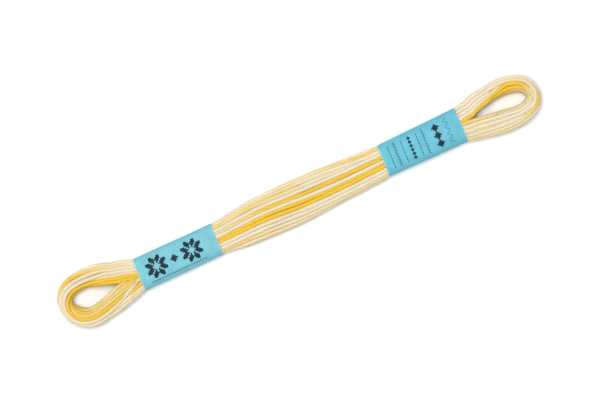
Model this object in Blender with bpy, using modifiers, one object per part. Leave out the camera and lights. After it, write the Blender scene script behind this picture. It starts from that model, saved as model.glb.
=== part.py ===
"""A skein of six-strand embroidery floss, lying flat: one wound hank held by two paper bands.

The hank's turns run along X as a flat body and open into an eye at each end. Sizes are in millimetres and are
turned into metres where the meshes are made. The origin is on the surface, under the middle of the skein.
"""

import math
from collections import namedtuple

import bmesh
import bpy

MM = 0.001

# The turns of floss, raised on the hank as ridges
HALF_STEPS = 28  # steps of a section's ring from its top to its foot, two for each turn
SPLIT_STEPS = 10  # steps across the split where the body parts into the two bundles of an eye
GROOVE_DEPTH = 0.42  # how far the valley between two turns lies below their backs
TURN_WAVER = 0.10  # how far one turn lies above or below the next
WAVER_LENGTH = 46.0  # length over which a turn rises and sinks once
WAVER_LAG = 2.4  # radians by which a turn's rise and sink lag behind its neighbour's
GROOVE_FADE = 0.9  # the grooves die out over this height above the flat underside
HANK_ROUNDNESS = 2.25  # a section's superellipse power: 2 is an ellipse
OUTLINE_SAMPLES = 360
CREASE_ANGLE = math.radians(25.0)  # sharper edges than this are shaded as edges

# The surface presses the foot of every section flat
PRESSED_FLAT = 0.4

# The bands
BAND_WALL = 1.0
BAND_GAP = 0.3
BAND_ROUNDNESS = 2.6
BAND_STEPS = 56
BAND_STATIONS = 4

# The hank along its body
BELLY_STEP = 3.2
NECK_STEP = 1.3
HIDDEN_STEP = 6.0
MOUTH_CLEAR = 0.30  # from a band's end to where the hank starts to swell
MOUTH_SWELL = 0.40  # length over which it swells to its full section
MOUTH_STATIONS = 2

# The hank round an eye
EYE_STATIONS = 36
EYE_ROUNDING = 8.0  # length over which a bundle goes from the half section at the split to its own round one

# The body's free sections from the left split to the right one. shift slides the turns round the section.
Body = namedtuple("Body", "x low_y high_y height shift")
BODY = (
    Body(x=-60.0, low_y=-8.35, high_y=6.20, height=7.3, shift=0.0),
    Body(x=-57.5, low_y=-7.60, high_y=5.60, height=7.1, shift=0.2),
    Body(x=-55.3, low_y=-6.75, high_y=4.85, height=6.9, shift=0.3),
    Body(x=-52.0, low_y=-6.20, high_y=4.45, height=6.7, shift=0.4),
    Body(x=-29.0, low_y=-5.45, high_y=4.60, height=6.6, shift=0.8),
    Body(x=-25.0, low_y=-5.45, high_y=4.75, height=6.7, shift=0.9),
    Body(x=-21.5, low_y=-6.00, high_y=5.35, height=6.8, shift=0.9),
    Body(x=-18.0, low_y=-6.35, high_y=5.85, height=6.9, shift=0.8),
    Body(x=-14.0, low_y=-6.50, high_y=6.45, height=7.0, shift=0.6),
    Body(x=-8.0, low_y=-6.55, high_y=6.65, height=7.0, shift=0.3),
    Body(x=0.0, low_y=-6.40, high_y=6.80, height=7.0, shift=-0.1),
    Body(x=6.0, low_y=-5.80, high_y=6.80, height=7.0, shift=-0.4),
    Body(x=12.0, low_y=-5.25, high_y=6.60, height=6.9, shift=-0.6),
    Body(x=18.0, low_y=-4.95, high_y=6.35, height=6.8, shift=-0.6),
    Body(x=23.0, low_y=-4.50, high_y=6.10, height=6.7, shift=-0.5),
    Body(x=28.5, low_y=-4.20, high_y=6.10, height=6.6, shift=-0.4),
    Body(x=52.5, low_y=-3.95, high_y=7.35, height=6.8, shift=-0.1),
    Body(x=55.0, low_y=-4.35, high_y=7.65, height=7.0, shift=0.0),
    Body(x=57.6, low_y=-4.75, high_y=8.30, height=7.2, shift=0.0),
)

# Each eye from the bundle on its +Y side, round the tip, to the one on its -Y side. x and y are the bundle's
# middle, width is across it, and lean is how far its top hangs outward from its foot.
Eye = namedtuple("Eye", "x y width height lean shift")
LEFT_EYE = (
    Eye(x=-60.0, y=2.60, width=7.2, height=7.3, lean=0.0, shift=0.0),
    Eye(x=-63.5, y=3.70, width=6.8, height=7.4, lean=0.2, shift=0.5),
    Eye(x=-66.5, y=4.28, width=6.5, height=7.5, lean=0.4, shift=1.0),
    Eye(x=-69.5, y=4.48, width=6.2, height=7.6, lean=0.5, shift=1.4),
    Eye(x=-72.6, y=4.05, width=5.9, height=7.7, lean=0.5, shift=1.6),
    Eye(x=-75.0, y=3.00, width=5.6, height=7.8, lean=0.4, shift=1.6),
    Eye(x=-76.4, y=1.15, width=4.9, height=7.9, lean=0.3, shift=1.4),
    Eye(x=-76.75, y=-1.20, width=4.6, height=7.9, lean=0.3, shift=1.0),
    Eye(x=-76.05, y=-3.30, width=5.1, height=7.8, lean=0.4, shift=0.5),
    Eye(x=-74.6, y=-5.15, width=5.6, height=7.7, lean=0.7, shift=0.0),
    Eye(x=-72.5, y=-6.50, width=6.0, height=7.6, lean=0.9, shift=-0.5),
    Eye(x=-69.7, y=-6.95, width=6.2, height=7.5, lean=1.0, shift=-0.9),
    Eye(x=-66.8, y=-6.50, width=6.1, height=7.4, lean=0.8, shift=-1.0),
    Eye(x=-64.0, y=-5.90, width=6.6, height=7.4, lean=0.5, shift=-0.6),
    Eye(x=-60.0, y=-4.70, width=7.3, height=7.3, lean=0.0, shift=0.0),
)
RIGHT_EYE = (
    Eye(x=57.6, y=5.05, width=6.5, height=7.2, lean=0.0, shift=0.0),
    Eye(x=60.5, y=5.85, width=6.0, height=7.3, lean=0.4, shift=-0.4),
    Eye(x=63.5, y=6.60, width=5.6, height=7.4, lean=0.7, shift=-0.8),
    Eye(x=66.5, y=7.15, width=5.4, height=7.5, lean=0.9, shift=-1.1),
    Eye(x=69.5, y=7.30, width=5.3, height=7.6, lean=0.9, shift=-1.2),
    Eye(x=72.4, y=6.80, width=5.3, height=7.7, lean=0.7, shift=-1.1),
    Eye(x=74.8, y=5.65, width=5.2, height=7.8, lean=0.4, shift=-0.8),
    Eye(x=76.25, y=3.75, width=5.0, height=7.9, lean=0.3, shift=-0.3),
    Eye(x=76.56, y=1.45, width=4.9, height=7.9, lean=0.3, shift=0.3),
    Eye(x=75.5, y=-0.60, width=5.2, height=7.8, lean=0.4, shift=0.8),
    Eye(x=73.4, y=-2.05, width=5.5, height=7.7, lean=0.5, shift=1.1),
    Eye(x=70.5, y=-2.80, width=5.8, height=7.6, lean=0.5, shift=1.2),
    Eye(x=67.0, y=-2.90, width=6.0, height=7.5, lean=0.4, shift=1.0),
    Eye(x=63.0, y=-2.40, width=6.5, height=7.4, lean=0.2, shift=0.5),
    Eye(x=57.6, y=-1.50, width=6.5, height=7.2, lean=0.0, shift=0.0),
)

# Each band's two ends: where its middle lies, and how wide and high it is outside
Band = namedtuple("Band", "x y half_width height")
LEFT_BAND = (
    Band(x=-53.25, y=-0.98, half_width=5.15, height=6.9),
    Band(x=-27.45, y=-0.38, half_width=5.05, height=6.8),
)
RIGHT_BAND = (
    Band(x=27.65, y=1.05, half_width=5.05, height=6.8),
    Band(x=53.45, y=1.76, half_width=5.50, height=7.0),
)

# The finishes
COTTON = {"name": "variegated_cotton", "colour": (0.93, 0.78, 0.42), "roughness": 0.75}
PAPER = {"name": "band_paper", "colour": (0.20, 0.62, 0.76), "roughness": 0.55}


def clear_scene():
    for item in list(bpy.data.objects):
        bpy.data.objects.remove(item, do_unlink=True)


def finish(name, colour, roughness):
    made = bpy.data.materials.new(name)
    made.use_nodes = True
    shader = made.node_tree.nodes["Principled BSDF"]
    shader.inputs["Base Color"].default_value = (*colour, 1.0)
    shader.inputs["Roughness"].default_value = roughness
    shader.inputs["Metallic"].default_value = 0.0
    return made


def ease(share):
    """0 to 1 with no corner at either end."""
    share = min(max(share, 0.0), 1.0)
    return share * share * (3.0 - 2.0 * share)


def mix(a, b, share):
    return a + (b - a) * share


def mix_rows(a, b, share):
    return type(a)(*(mix(low, high, share) for low, high in zip(a, b)))


def stretch(start, end, step):
    """Even stations from start to end, both included, about a step apart."""
    count = max(round((end - start) / step), 1)
    return [mix(start, end, k / count) for k in range(count + 1)]


def row_at(rows, keys, at):
    """The row of a table at a place along its keys, on one smooth curve through all its rows."""
    last = len(rows) - 1
    i = min(max(sum(key <= at for key in keys) - 1, 0), last - 1)
    span = keys[i + 1] - keys[i]
    t = (at - keys[i]) / span

    def slope(column, k):
        low, high = max(k - 1, 0), min(k + 1, last)
        return (rows[high][column] - rows[low][column]) / (keys[high] - keys[low])

    values = []
    for column in range(len(rows[0])):
        start, end = rows[i][column], rows[i + 1][column]
        leave, arrive = span * slope(column, i), span * slope(column, i + 1)
        values.append(
            (2 * t**3 - 3 * t**2 + 1) * start
            + (t**3 - 2 * t**2 + t) * leave
            + (3 * t**2 - 2 * t**3) * end
            + (t**3 - t**2) * arrive
        )
    return type(rows[0])(*values)


def outline(half_width, height, power):
    """A section's superellipse in (across, up), from its outer side down, under, and back over its top.

    It reaches below zero by the depth that the surface presses flat.
    """
    half_height = (height + PRESSED_FLAT) / 2
    points = []
    for k in range(OUTLINE_SAMPLES):
        angle = -2 * math.pi * k / OUTLINE_SAMPLES
        across, up = math.cos(angle), math.sin(angle)
        across = math.copysign(abs(across) ** (2 / power), across)
        up = math.copysign(abs(up) ** (2 / power), up)
        points.append((half_width * across, half_height * (1 + up) - PRESSED_FLAT))
    return points


def even_ring(points, steps, shift=0.0):
    """Points at even distances round a closed outline. The one halfway down its outer side is number
    HALF_STEPS / 2, slid along the outline by shift."""
    reached = [0.0]
    for k, point in enumerate(points):
        reached.append(reached[-1] + math.dist(point, points[(k + 1) % len(points)]))
    total = reached[-1]
    ring = []
    for i in range(steps):
        place = ((i - HALF_STEPS / 2) * total / steps + shift) % total
        k = min(int(place / total * len(points)), len(points) - 1)
        while reached[k] > place:
            k -= 1
        while reached[k + 1] < place:
            k += 1
        share = (place - reached[k]) / (reached[k + 1] - reached[k])
        a, b = points[k], points[(k + 1) % len(points)]
        ring.append((mix(a[0], b[0], share), mix(a[1], b[1], share)))
    return ring


def pressed(ring):
    """The ring with what lies below zero pressed flat."""
    return [(across, max(up, 0.0)) for across, up in ring]


def with_turns(ring, along):
    """The ring with every second point sunk into a groove and its turns a little uneven, its foot left smooth."""
    made = []
    for i, (across, up) in enumerate(ring):
        before, after = ring[i - 1], ring[(i + 1) % len(ring)]
        run = math.dist(before, after)
        out = ((before[1] - after[1]) / run, (after[0] - before[0]) / run)
        waver = math.sin(WAVER_LAG * (i // 2) + 2 * math.pi * along / WAVER_LENGTH)
        depth = (GROOVE_DEPTH * (i % 2) + TURN_WAVER * (1 + waver)) * ease(up / GROOVE_FADE)
        made.append((across - depth * out[0], up - depth * out[1]))
    return pressed(made)


def ring_of_verts(bm, points):
    return [bm.verts.new((x * MM, y * MM, z * MM)) for x, y, z in points]


def skin(bm, ring, other):
    """Faces between two rings that have as many points."""
    for k in range(len(ring)):
        bm.faces.new((ring[k - 1], other[k - 1], other[k], ring[k]))


def drawn_in(x):
    """How far a band draws the hank in here, from 0 to 1, and that band's row."""
    for band in (LEFT_BAND, RIGHT_BAND):
        start, end = band[0].x - MOUTH_CLEAR, band[1].x + MOUTH_CLEAR
        outside = max(start - x, x - end, 0.0)
        if outside < MOUTH_SWELL:
            share = (x - band[0].x) / (band[1].x - band[0].x)
            return 1.0 - ease(outside / MOUTH_SWELL), mix_rows(*band, share)
    return 0.0, None


def body_ring(x):
    """The body's section at x, as points (x, y, z) with its top first and its foot at HALF_STEPS."""
    row = row_at(BODY, [body.x for body in BODY], x)
    middle, half_width = (row.high_y + row.low_y) / 2, (row.high_y - row.low_y) / 2
    height, power, floor = row.height, HANK_ROUNDNESS, 0.0
    share, band = drawn_in(x)
    if band:
        inset = BAND_WALL + BAND_GAP
        middle = mix(middle, band.y, share)
        half_width = mix(half_width, band.half_width - inset, share)
        height = mix(height, band.height - 2 * inset, share)
        power = mix(power, BAND_ROUNDNESS, share)
        floor = mix(floor, inset, share)
    ring = even_ring(outline(half_width, height, power), 2 * HALF_STEPS, row.shift)
    return [(x, middle + across, floor + up) for across, up in with_turns(ring, x)]


def body_stations():
    """Where the body's sections stand, close together where a band's mouth draws the hank in."""
    reach = MOUTH_CLEAR + MOUTH_SWELL
    places = []
    free_from, step = BODY[0].x, NECK_STEP
    for start, end in ((LEFT_BAND[0].x, LEFT_BAND[1].x), (RIGHT_BAND[0].x, RIGHT_BAND[1].x)):
        swell = MOUTH_SWELL / MOUTH_STATIONS
        places += stretch(free_from, start - reach, step)
        places += stretch(start - reach + swell, start - MOUTH_CLEAR, swell)
        places += stretch(start, end, HIDDEN_STEP)
        places += stretch(end + MOUTH_CLEAR, end + reach - swell, swell)
        free_from, step = end + reach, BELLY_STEP
    return places + stretch(free_from, BODY[-1].x, NECK_STEP)


def eye_ring(row, along):
    """A bundle's own section as points (outward, up), in the same order as the body's half section and split."""
    steps = HALF_STEPS + SPLIT_STEPS
    ring = even_ring(outline(row.width / 2, row.height, HANK_ROUNDNESS), steps, row.shift)
    return [
        (across + row.lean * (up / row.height - 0.5), up) for across, up in with_turns(ring, along)
    ]


def add_eye(bm, rows, split_ring, side):
    """Sweeps a bundle from one half of the body's last section round to the other. side is 1 for the +X end."""
    top, foot = split_ring[0], split_ring[HALF_STEPS]
    split = [
        bm.verts.new(foot.co.lerp(top.co, k / SPLIT_STEPS)) for k in range(1, SPLIT_STEPS)
    ]
    first = split_ring[: HALF_STEPS + 1] + split
    last = [top] + split_ring[: HALF_STEPS - 1 : -1] + split
    first_local = [(v.co.y / MM - rows[0].y, v.co.z / MM) for v in first]
    last_local = [(rows[-1].y - v.co.y / MM, v.co.z / MM) for v in last]

    keys = [0.0]
    for row, following in zip(rows, rows[1:]):
        keys.append(keys[-1] + math.dist(row[:2], following[:2]))
    total, step = keys[-1], keys[-1] / EYE_STATIONS
    before = first
    for k in range(1, EYE_STATIONS):
        along = k * step
        row = row_at(rows, keys, along)
        back, ahead = row_at(rows, keys, along - step / 2), row_at(rows, keys, along + step / 2)
        leaving, arriving = ease(along / EYE_ROUNDING), ease((total - along) / EYE_ROUNDING)
        turned = leaving * arriving
        out_x = mix(0.0, -side * (ahead.y - back.y), turned)
        out_y = mix(math.copysign(step, total / 2 - along), side * (ahead.x - back.x), turned)
        size = math.hypot(out_x, out_y)
        points = []
        for own, start, end in zip(eye_ring(row, along), first_local, last_local):
            across, up = (mix(start[n], mix(end[n], own[n], arriving), leaving) for n in (0, 1))
            points.append((row.x + out_x / size * across, row.y + out_y / size * across, up))
        ring = ring_of_verts(bm, points)
        skin(bm, before, ring)
        before = ring
    skin(bm, before, last)


def add_object(name, bm, surface, parts):
    mesh = bpy.data.meshes.new(name)
    bm.to_mesh(mesh)
    bm.free()
    mesh.shade_smooth()
    mesh.set_sharp_from_angle(angle=CREASE_ANGLE)
    mesh.materials.append(surface)
    made = bpy.data.objects.new(name, mesh)
    parts.objects.link(made)
    return made


def make_hank(parts, cotton):
    bm = bmesh.new()
    rings = [ring_of_verts(bm, body_ring(x)) for x in body_stations()]
    for ring, following in zip(rings, rings[1:]):
        skin(bm, ring, following)
    add_eye(bm, LEFT_EYE, rings[0], side=-1)
    add_eye(bm, RIGHT_EYE, rings[-1], side=1)
    bmesh.ops.recalc_face_normals(bm, faces=bm.faces)
    return add_object("floss_hank", bm, cotton, parts)


def make_band(name, ends, parts, paper):
    """A paper sleeve: its outer surface, with the wall added inwards."""
    bm = bmesh.new()
    before = None
    for k in range(BAND_STATIONS):
        row = mix_rows(*ends, k / (BAND_STATIONS - 1))
        section = pressed(even_ring(outline(row.half_width, row.height, BAND_ROUNDNESS), BAND_STEPS))
        ring = ring_of_verts(bm, [(row.x, row.y + across, up) for across, up in section])
        if before:
            skin(bm, before, ring)
        before = ring
    made = add_object(name, bm, paper, parts)
    wall = made.modifiers.new("wall", "SOLIDIFY")
    wall.thickness = BAND_WALL * MM
    wall.offset = -1.0
    wall.use_even_offset = True
    return made


def main():
    clear_scene()
    parts = bpy.data.collections.new("embroidery_floss_skein")
    bpy.context.scene.collection.children.link(parts)
    make_hank(parts, finish(**COTTON))
    paper = finish(**PAPER)
    make_band("paper_band_left", LEFT_BAND, parts, paper)
    make_band("paper_band_right", RIGHT_BAND, parts, paper.copy())


main()
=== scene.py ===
"""A skein of variegated six-strand embroidery floss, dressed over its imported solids.

One thread is wound in flat turns, opened into an eye at each end and held by two printed paper bands. Tables are
in millimetres in the part's own frame; meshes are made in metres.
"""

import logging
import math
from dataclasses import dataclass
from enum import Enum
from typing import NamedTuple, Sequence

import bmesh
import bpy
import numpy as np
from mathutils import Matrix, Vector


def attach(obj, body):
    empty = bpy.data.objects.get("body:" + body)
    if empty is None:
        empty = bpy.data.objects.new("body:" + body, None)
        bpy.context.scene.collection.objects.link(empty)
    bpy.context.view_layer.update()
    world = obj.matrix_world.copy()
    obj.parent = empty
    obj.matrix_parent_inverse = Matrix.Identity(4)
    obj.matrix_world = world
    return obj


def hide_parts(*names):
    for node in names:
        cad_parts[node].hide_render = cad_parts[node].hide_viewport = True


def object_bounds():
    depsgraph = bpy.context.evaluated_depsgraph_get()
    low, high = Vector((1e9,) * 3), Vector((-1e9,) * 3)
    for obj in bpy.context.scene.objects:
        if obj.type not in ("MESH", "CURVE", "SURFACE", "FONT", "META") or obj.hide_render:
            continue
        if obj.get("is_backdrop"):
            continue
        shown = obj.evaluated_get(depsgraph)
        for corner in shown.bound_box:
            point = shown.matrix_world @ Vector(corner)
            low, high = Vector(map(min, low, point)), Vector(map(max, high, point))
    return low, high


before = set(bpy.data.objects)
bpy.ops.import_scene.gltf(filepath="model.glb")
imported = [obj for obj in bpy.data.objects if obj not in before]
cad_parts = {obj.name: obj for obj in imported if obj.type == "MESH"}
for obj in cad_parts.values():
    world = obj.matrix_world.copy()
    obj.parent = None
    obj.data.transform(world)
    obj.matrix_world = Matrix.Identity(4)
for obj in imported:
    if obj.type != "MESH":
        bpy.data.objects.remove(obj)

MM = 0.001
# a distance that is never chosen, a share that makes no difference, and one that only keeps a division whole
FAR, SLIGHT, TINY = 1e9, 1e-6, 1e-9
# how many stations are blended into one
BLUR_STATIONS = 7

Colour = tuple[float, float, float]
Columns = dict[str, np.ndarray]
Sockets = dict[str, float | tuple[float, ...]]

logging.basicConfig(level=logging.INFO, format="%(message)s")
log = logging.getLogger("floss_skein")


class BodyRow(NamedTuple):
    """A free section of the body: where it lies across Y and how high it is."""

    x: float
    low_y: float
    high_y: float
    height: float


class EyeRow(NamedTuple):
    """A section of an eye's bundle: its middle, its width across the bundle, its height and its outward lean."""

    x: float
    y: float
    width: float
    height: float
    lean: float


class BandRow(NamedTuple):
    """One end of a paper band: its middle and its outer size."""

    x: float
    y: float
    half_width: float
    height: float


BODY = (
    BodyRow(-60.0, -8.35, 6.20, 7.3),
    BodyRow(-57.5, -7.60, 5.60, 7.1),
    BodyRow(-55.3, -6.75, 4.85, 6.9),
    BodyRow(-52.0, -6.20, 4.45, 6.7),
    BodyRow(-29.0, -5.45, 4.60, 6.6),
    BodyRow(-25.0, -5.45, 4.75, 6.7),
    BodyRow(-21.5, -6.00, 5.35, 6.8),
    BodyRow(-18.0, -6.35, 5.85, 6.9),
    BodyRow(-14.0, -6.50, 6.45, 7.0),
    BodyRow(-8.0, -6.55, 6.65, 7.0),
    BodyRow(0.0, -6.40, 6.80, 7.0),
    BodyRow(6.0, -5.80, 6.80, 7.0),
    BodyRow(12.0, -5.25, 6.60, 6.9),
    BodyRow(18.0, -4.95, 6.35, 6.8),
    BodyRow(23.0, -4.50, 6.10, 6.7),
    BodyRow(28.5, -4.20, 6.10, 6.6),
    BodyRow(52.5, -3.95, 7.35, 6.8),
    BodyRow(55.0, -4.35, 7.65, 7.0),
    BodyRow(57.6, -4.75, 8.20, 7.2),
)
LEFT_EYE = (
    EyeRow(-60.0, 2.60, 7.2, 7.3, 0.0),
    EyeRow(-63.5, 3.75, 6.7, 7.4, 0.2),
    EyeRow(-66.5, 4.42, 6.2, 7.5, 0.4),
    EyeRow(-69.5, 4.70, 5.75, 7.6, 0.5),
    EyeRow(-72.7, 4.25, 5.45, 7.7, 0.5),
    EyeRow(-75.15, 3.15, 5.1, 7.8, 0.4),
    EyeRow(-76.6, 1.20, 4.45, 7.9, 0.3),
    EyeRow(-76.87, -1.20, 4.35, 7.9, 0.3),
    EyeRow(-76.05, -3.30, 5.1, 7.8, 0.4),
    EyeRow(-74.6, -5.15, 5.6, 7.7, 0.7),
    EyeRow(-72.5, -6.50, 6.0, 7.6, 0.9),
    EyeRow(-69.7, -6.93, 6.1, 7.5, 1.0),
    EyeRow(-66.8, -6.42, 5.9, 7.4, 0.8),
    EyeRow(-64.0, -5.78, 6.3, 7.4, 0.5),
    EyeRow(-60.0, -4.70, 7.3, 7.3, 0.0),
)
RIGHT_EYE = (
    EyeRow(57.6, 4.96, 6.48, 7.2, 0.0),
    EyeRow(58.9, 5.62, 5.4, 7.25, 0.15),
    EyeRow(60.8, 6.2, 4.98, 7.3, 0.4),
    EyeRow(63.5, 6.75, 5.1, 7.4, 0.7),
    EyeRow(66.5, 7.22, 5.25, 7.5, 0.9),
    EyeRow(69.5, 7.30, 5.2, 7.6, 0.9),
    EyeRow(72.4, 6.80, 5.2, 7.7, 0.7),
    EyeRow(74.9, 5.70, 5.0, 7.8, 0.4),
    EyeRow(76.4, 3.80, 4.6, 7.9, 0.3),
    EyeRow(76.9, 1.40, 4.25, 7.9, 0.3),
    EyeRow(75.7, -0.74, 4.8, 7.8, 0.4),
    EyeRow(73.45, -2.10, 5.4, 7.7, 0.5),
    EyeRow(70.5, -2.78, 6.15, 7.6, 0.4),
    EyeRow(67.0, -2.62, 6.7, 7.5, 0.3),
    EyeRow(63.0, -2.38, 6.75, 7.4, 0.2),
    EyeRow(57.6, -1.51, 6.48, 7.2, 0.0),
)
LEFT_BAND = (BandRow(-53.25, -0.98, 5.15, 6.9), BandRow(-27.45, -0.38, 5.05, 6.8))
RIGHT_BAND = (BandRow(27.65, 1.05, 5.05, 6.8), BandRow(53.45, 1.76, 5.50, 7.0))
BANDS = (LEFT_BAND, RIGHT_BAND)

# how much of its round underside the skein loses to the surface it lies on, in millimetres
PRESSED_FLAT = 0.4
# how square a section is: 2 is an ellipse
HANK_ROUNDNESS = 2.25
BAND_ROUNDNESS = 2.6


def ease(share: np.ndarray) -> np.ndarray:
    """0 to 1 with no corner at either end."""
    share = np.clip(share, 0.0, 1.0)
    return share * share * (3.0 - 2.0 * share)


def mix(a: np.ndarray, b: np.ndarray, share: np.ndarray) -> np.ndarray:
    """a where share is 0 and b where it is 1."""
    return a + (b - a) * share


def smooth_rows(rows: Sequence[NamedTuple], keys: np.ndarray, at: np.ndarray) -> np.ndarray:
    """Reads a table on one smooth curve through all its rows.

    Args:
        rows: the table.
        keys: each row's place, rising.
        at: the places to read.

    Returns:
        One line for each place, with the table's columns.
    """
    table, keys, at = np.array(rows, float), np.asarray(keys, float), np.asarray(at, float)
    last = len(keys) - 1
    low, high = np.maximum(np.arange(last + 1) - 1, 0), np.minimum(np.arange(last + 1) + 1, last)
    slope = (table[high] - table[low]) / (keys[high] - keys[low])[:, None]
    i = np.clip(np.searchsorted(keys, at, side="right") - 1, 0, last - 1)
    span = (keys[i + 1] - keys[i])[:, None]
    t = (at[:, None] - keys[i][:, None]) / span
    return (
        (2 * t**3 - 3 * t**2 + 1) * table[i]
        + (t**3 - 2 * t**2 + t) * span * slope[i]
        + (3 * t**2 - 2 * t**3) * table[i + 1]
        + (t**3 - t**2) * span * slope[i + 1]
    )


def way_along(points: np.ndarray) -> np.ndarray:
    """How far along its own line each point is."""
    return np.concatenate([[0.0], np.cumsum(np.linalg.norm(np.diff(points, axis=0), axis=1))])


class Ends(Enum):
    """How a row of values goes on past its ends."""

    ROUND = "wrap"
    LEVEL = "edge"


def evened(values: np.ndarray, ends: Ends) -> np.ndarray:
    """Values blended with their neighbours."""
    kernel = np.hanning(BLUR_STATIONS) / np.hanning(BLUR_STATIONS).sum()
    return np.convolve(np.pad(values, BLUR_STATIONS // 2, mode=ends.value), kernel, "valid")


def link(made: bpy.types.Object) -> bpy.types.Object:
    """Puts an object into the scene."""
    bpy.context.scene.collection.objects.link(made)
    return made


# ---------------------------------------------------------------------------------------------------------------
# The room that the turns fill


@dataclass
class Room:
    """The space for the turns at every station of the loop, in millimetres.

    A station has a point on the bundle's middle line and an outward direction. u runs outward from that point
    and v runs up from the surface.

    Attributes:
        step: from one station to the next.
        seam_x: where one turn ends and the next begins, hidden in the left band.
        rounding: how far along an eye's bundle takes on its own section.
        split: how far along an eye's bundle parts from the other one.
        eye_roundness: how square an eye's section is.
        look: how far back and ahead an eye's heading is measured.
        paper: what a band's paper takes off each side.
        mouth: how far along the hank swells at a band's mouth, from mouth_start inside it.
        squeezed: how thick the thread is in a band, as a share.
        mingle: how far the turns of one half may cross the body's middle, reached mingle_ease from its ends.
    """

    step: float = 1.5
    seam_x: float = -40.5
    rounding: float = 8.0
    split: float = 2.5
    eye_roundness: float = 2.6
    look: float = 1.0
    paper: float = 0.2
    mouth: float = 2.2
    mouth_start: float = 0.4
    squeezed: float = 0.91
    mingle: float = 0.9
    mingle_ease: float = 3.0

    def __post_init__(self) -> None:
        """Works out the stations in the order that the thread runs through them."""
        count = round((BODY[-1].x - BODY[0].x) / self.step)
        self.xs = np.linspace(BODY[0].x, BODY[-1].x, count + 1)
        seam = int(np.argmin(abs(self.xs - self.seam_x)))
        upper, lower = self.body_half(1.0), self.body_half(-1.0)
        left = self.eye(LEFT_EYE, -1.0, lower["half_u"][0], BODY[0].height)
        right = self.eye(RIGHT_EYE, 1.0, lower["half_u"][-1], BODY[-1].height)
        parts = [
            {k: v[seam::-1] for k, v in upper.items()},
            left,
            lower,
            {k: v[::-1] for k, v in right.items()},
            {k: v[:seam:-1] for k, v in upper.items()},
        ]
        self.at = {k: np.concatenate([part[k] for part in parts]) for k in upper}
        sizes = np.cumsum([0] + [len(part["x"]) for part in parts])
        self.stations = int(sizes[-1])
        order = np.arange(self.stations)
        self.eyes = np.concatenate([order[sizes[1] : sizes[2]], order[sizes[3] : sizes[4]]])
        self.lower = order[sizes[2] : sizes[3]]
        self.upper = np.concatenate([order[sizes[0] : sizes[1]][::-1], order[sizes[4] :][::-1]])
        points = np.column_stack([self.at["x"], self.at["y"]])
        steps = np.linalg.norm(np.roll(points, -1, axis=0) - points, axis=1)
        self.along = np.concatenate([[0.0], np.cumsum(steps)[:-1]])
        self.turn_length = float(steps.sum())

    def body_half(self, side: float) -> Columns:
        """The body's stations for one of its halves.

        Args:
            side: 1 for the half on the +Y side, -1 for the one on the -Y side.

        Returns:
            A column for each measure of the room, with a value for each station.
        """
        _, low_y, high_y, top = smooth_rows(BODY, [row.x for row in BODY], self.xs).T
        ones = np.ones(len(top))
        middle, half = (low_y + high_y) / 2, (high_y - low_y) / 2
        height = top + PRESSED_FLAT
        up = top / 2 - PRESSED_FLAT / 2
        power, floor, slack = HANK_ROUNDNESS * ones, 0.0 * ones, ones
        for band in BANDS:
            share = np.clip((self.xs - band[0].x) / (band[1].x - band[0].x), 0.0, 1.0)
            _, band_y, band_half, band_top = mix(np.array(band[0])[:, None], np.array(band[1])[:, None], share)
            outside = np.maximum(band[0].x - self.xs, self.xs - band[1].x)
            held = 1.0 - ease((outside + self.mouth_start) / self.mouth)
            middle = mix(middle, band_y, held)
            half = mix(half, band_half - self.paper, held)
            height = mix(height, band_top + PRESSED_FLAT - 2 * self.paper, held)
            up = mix(up, band_top / 2 - PRESSED_FLAT / 2, held)
            power = mix(power, BAND_ROUNDNESS, held)
            floor = mix(floor, self.paper, held)
            slack = mix(slack, self.squeezed, held)
        from_ends = np.minimum(self.xs - self.xs[0], self.xs[-1] - self.xs)
        return {
            "x": self.xs.copy(),
            "y": middle + side * half / 2,
            "out_x": 0.0 * ones,
            "out_y": side * ones,
            "centre_u": -half / 2,
            "half_u": half,
            "inner": -half / 2 - self.mingle * ease(from_ends / self.mingle_ease),
            "centre_v": up,
            "half_v": height / 2,
            "power": power,
            "floor": floor,
            "lean": 0.0 * ones,
            "height": height,
            "slack": slack,
        }

    def eye(self, rows: Sequence[EyeRow], side: float, half: float, height: float) -> Columns:
        """An eye's stations, from its +Y bundle round the tip to its -Y one, without those on the split.

        Args:
            rows: the eye's table.
            side: 1 for the eye at the +X end, -1 for the one at the -X end.
            half: half the body's width at the split.
            height: the body's height at the split.

        Returns:
            The same columns as body_half gives.
        """
        keys = way_along(np.array([row[:2] for row in rows]))
        total = keys[-1]
        count = round(total / self.step)
        along = np.arange(1, count) * total / count
        x, y, width, top, lean = smooth_rows(rows, keys, along).T
        back, ahead = (smooth_rows(rows, keys, along + shift) for shift in (-self.look, self.look))
        share = ease(along / self.rounding) * ease((total - along) / self.rounding)
        straight_out = np.where(along < total / 2, 2 * self.look, -2 * self.look)
        out_x = mix(0.0, -side * (ahead[:, 1] - back[:, 1]), share)
        out_y = mix(straight_out, side * (ahead[:, 0] - back[:, 0]), share)
        size = np.hypot(out_x, out_y)
        high = mix(height, top, share)
        parted = ease(np.minimum(along, total - along) / self.split)
        return {
            "x": x,
            "y": y,
            "out_x": out_x / size,
            "out_y": out_y / size,
            "centre_u": mix(-half / 2, 0.0, share),
            "half_u": mix(half, width / 2, share),
            "inner": mix(-half / 2, -width / 2, parted),
            "centre_v": (high - PRESSED_FLAT) / 2,
            "half_v": (high + PRESSED_FLAT) / 2,
            "power": mix(HANK_ROUNDNESS, self.eye_roundness, share),
            "floor": np.zeros(len(along)),
            "lean": lean * share,
            "height": high,
            "slack": np.ones(len(along)),
        }


class Roll(NamedTuple):
    """How far the bundle has rolled about its own length at a station near (x, side of the loop)."""

    x: float
    upper: bool
    degrees: float


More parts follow.
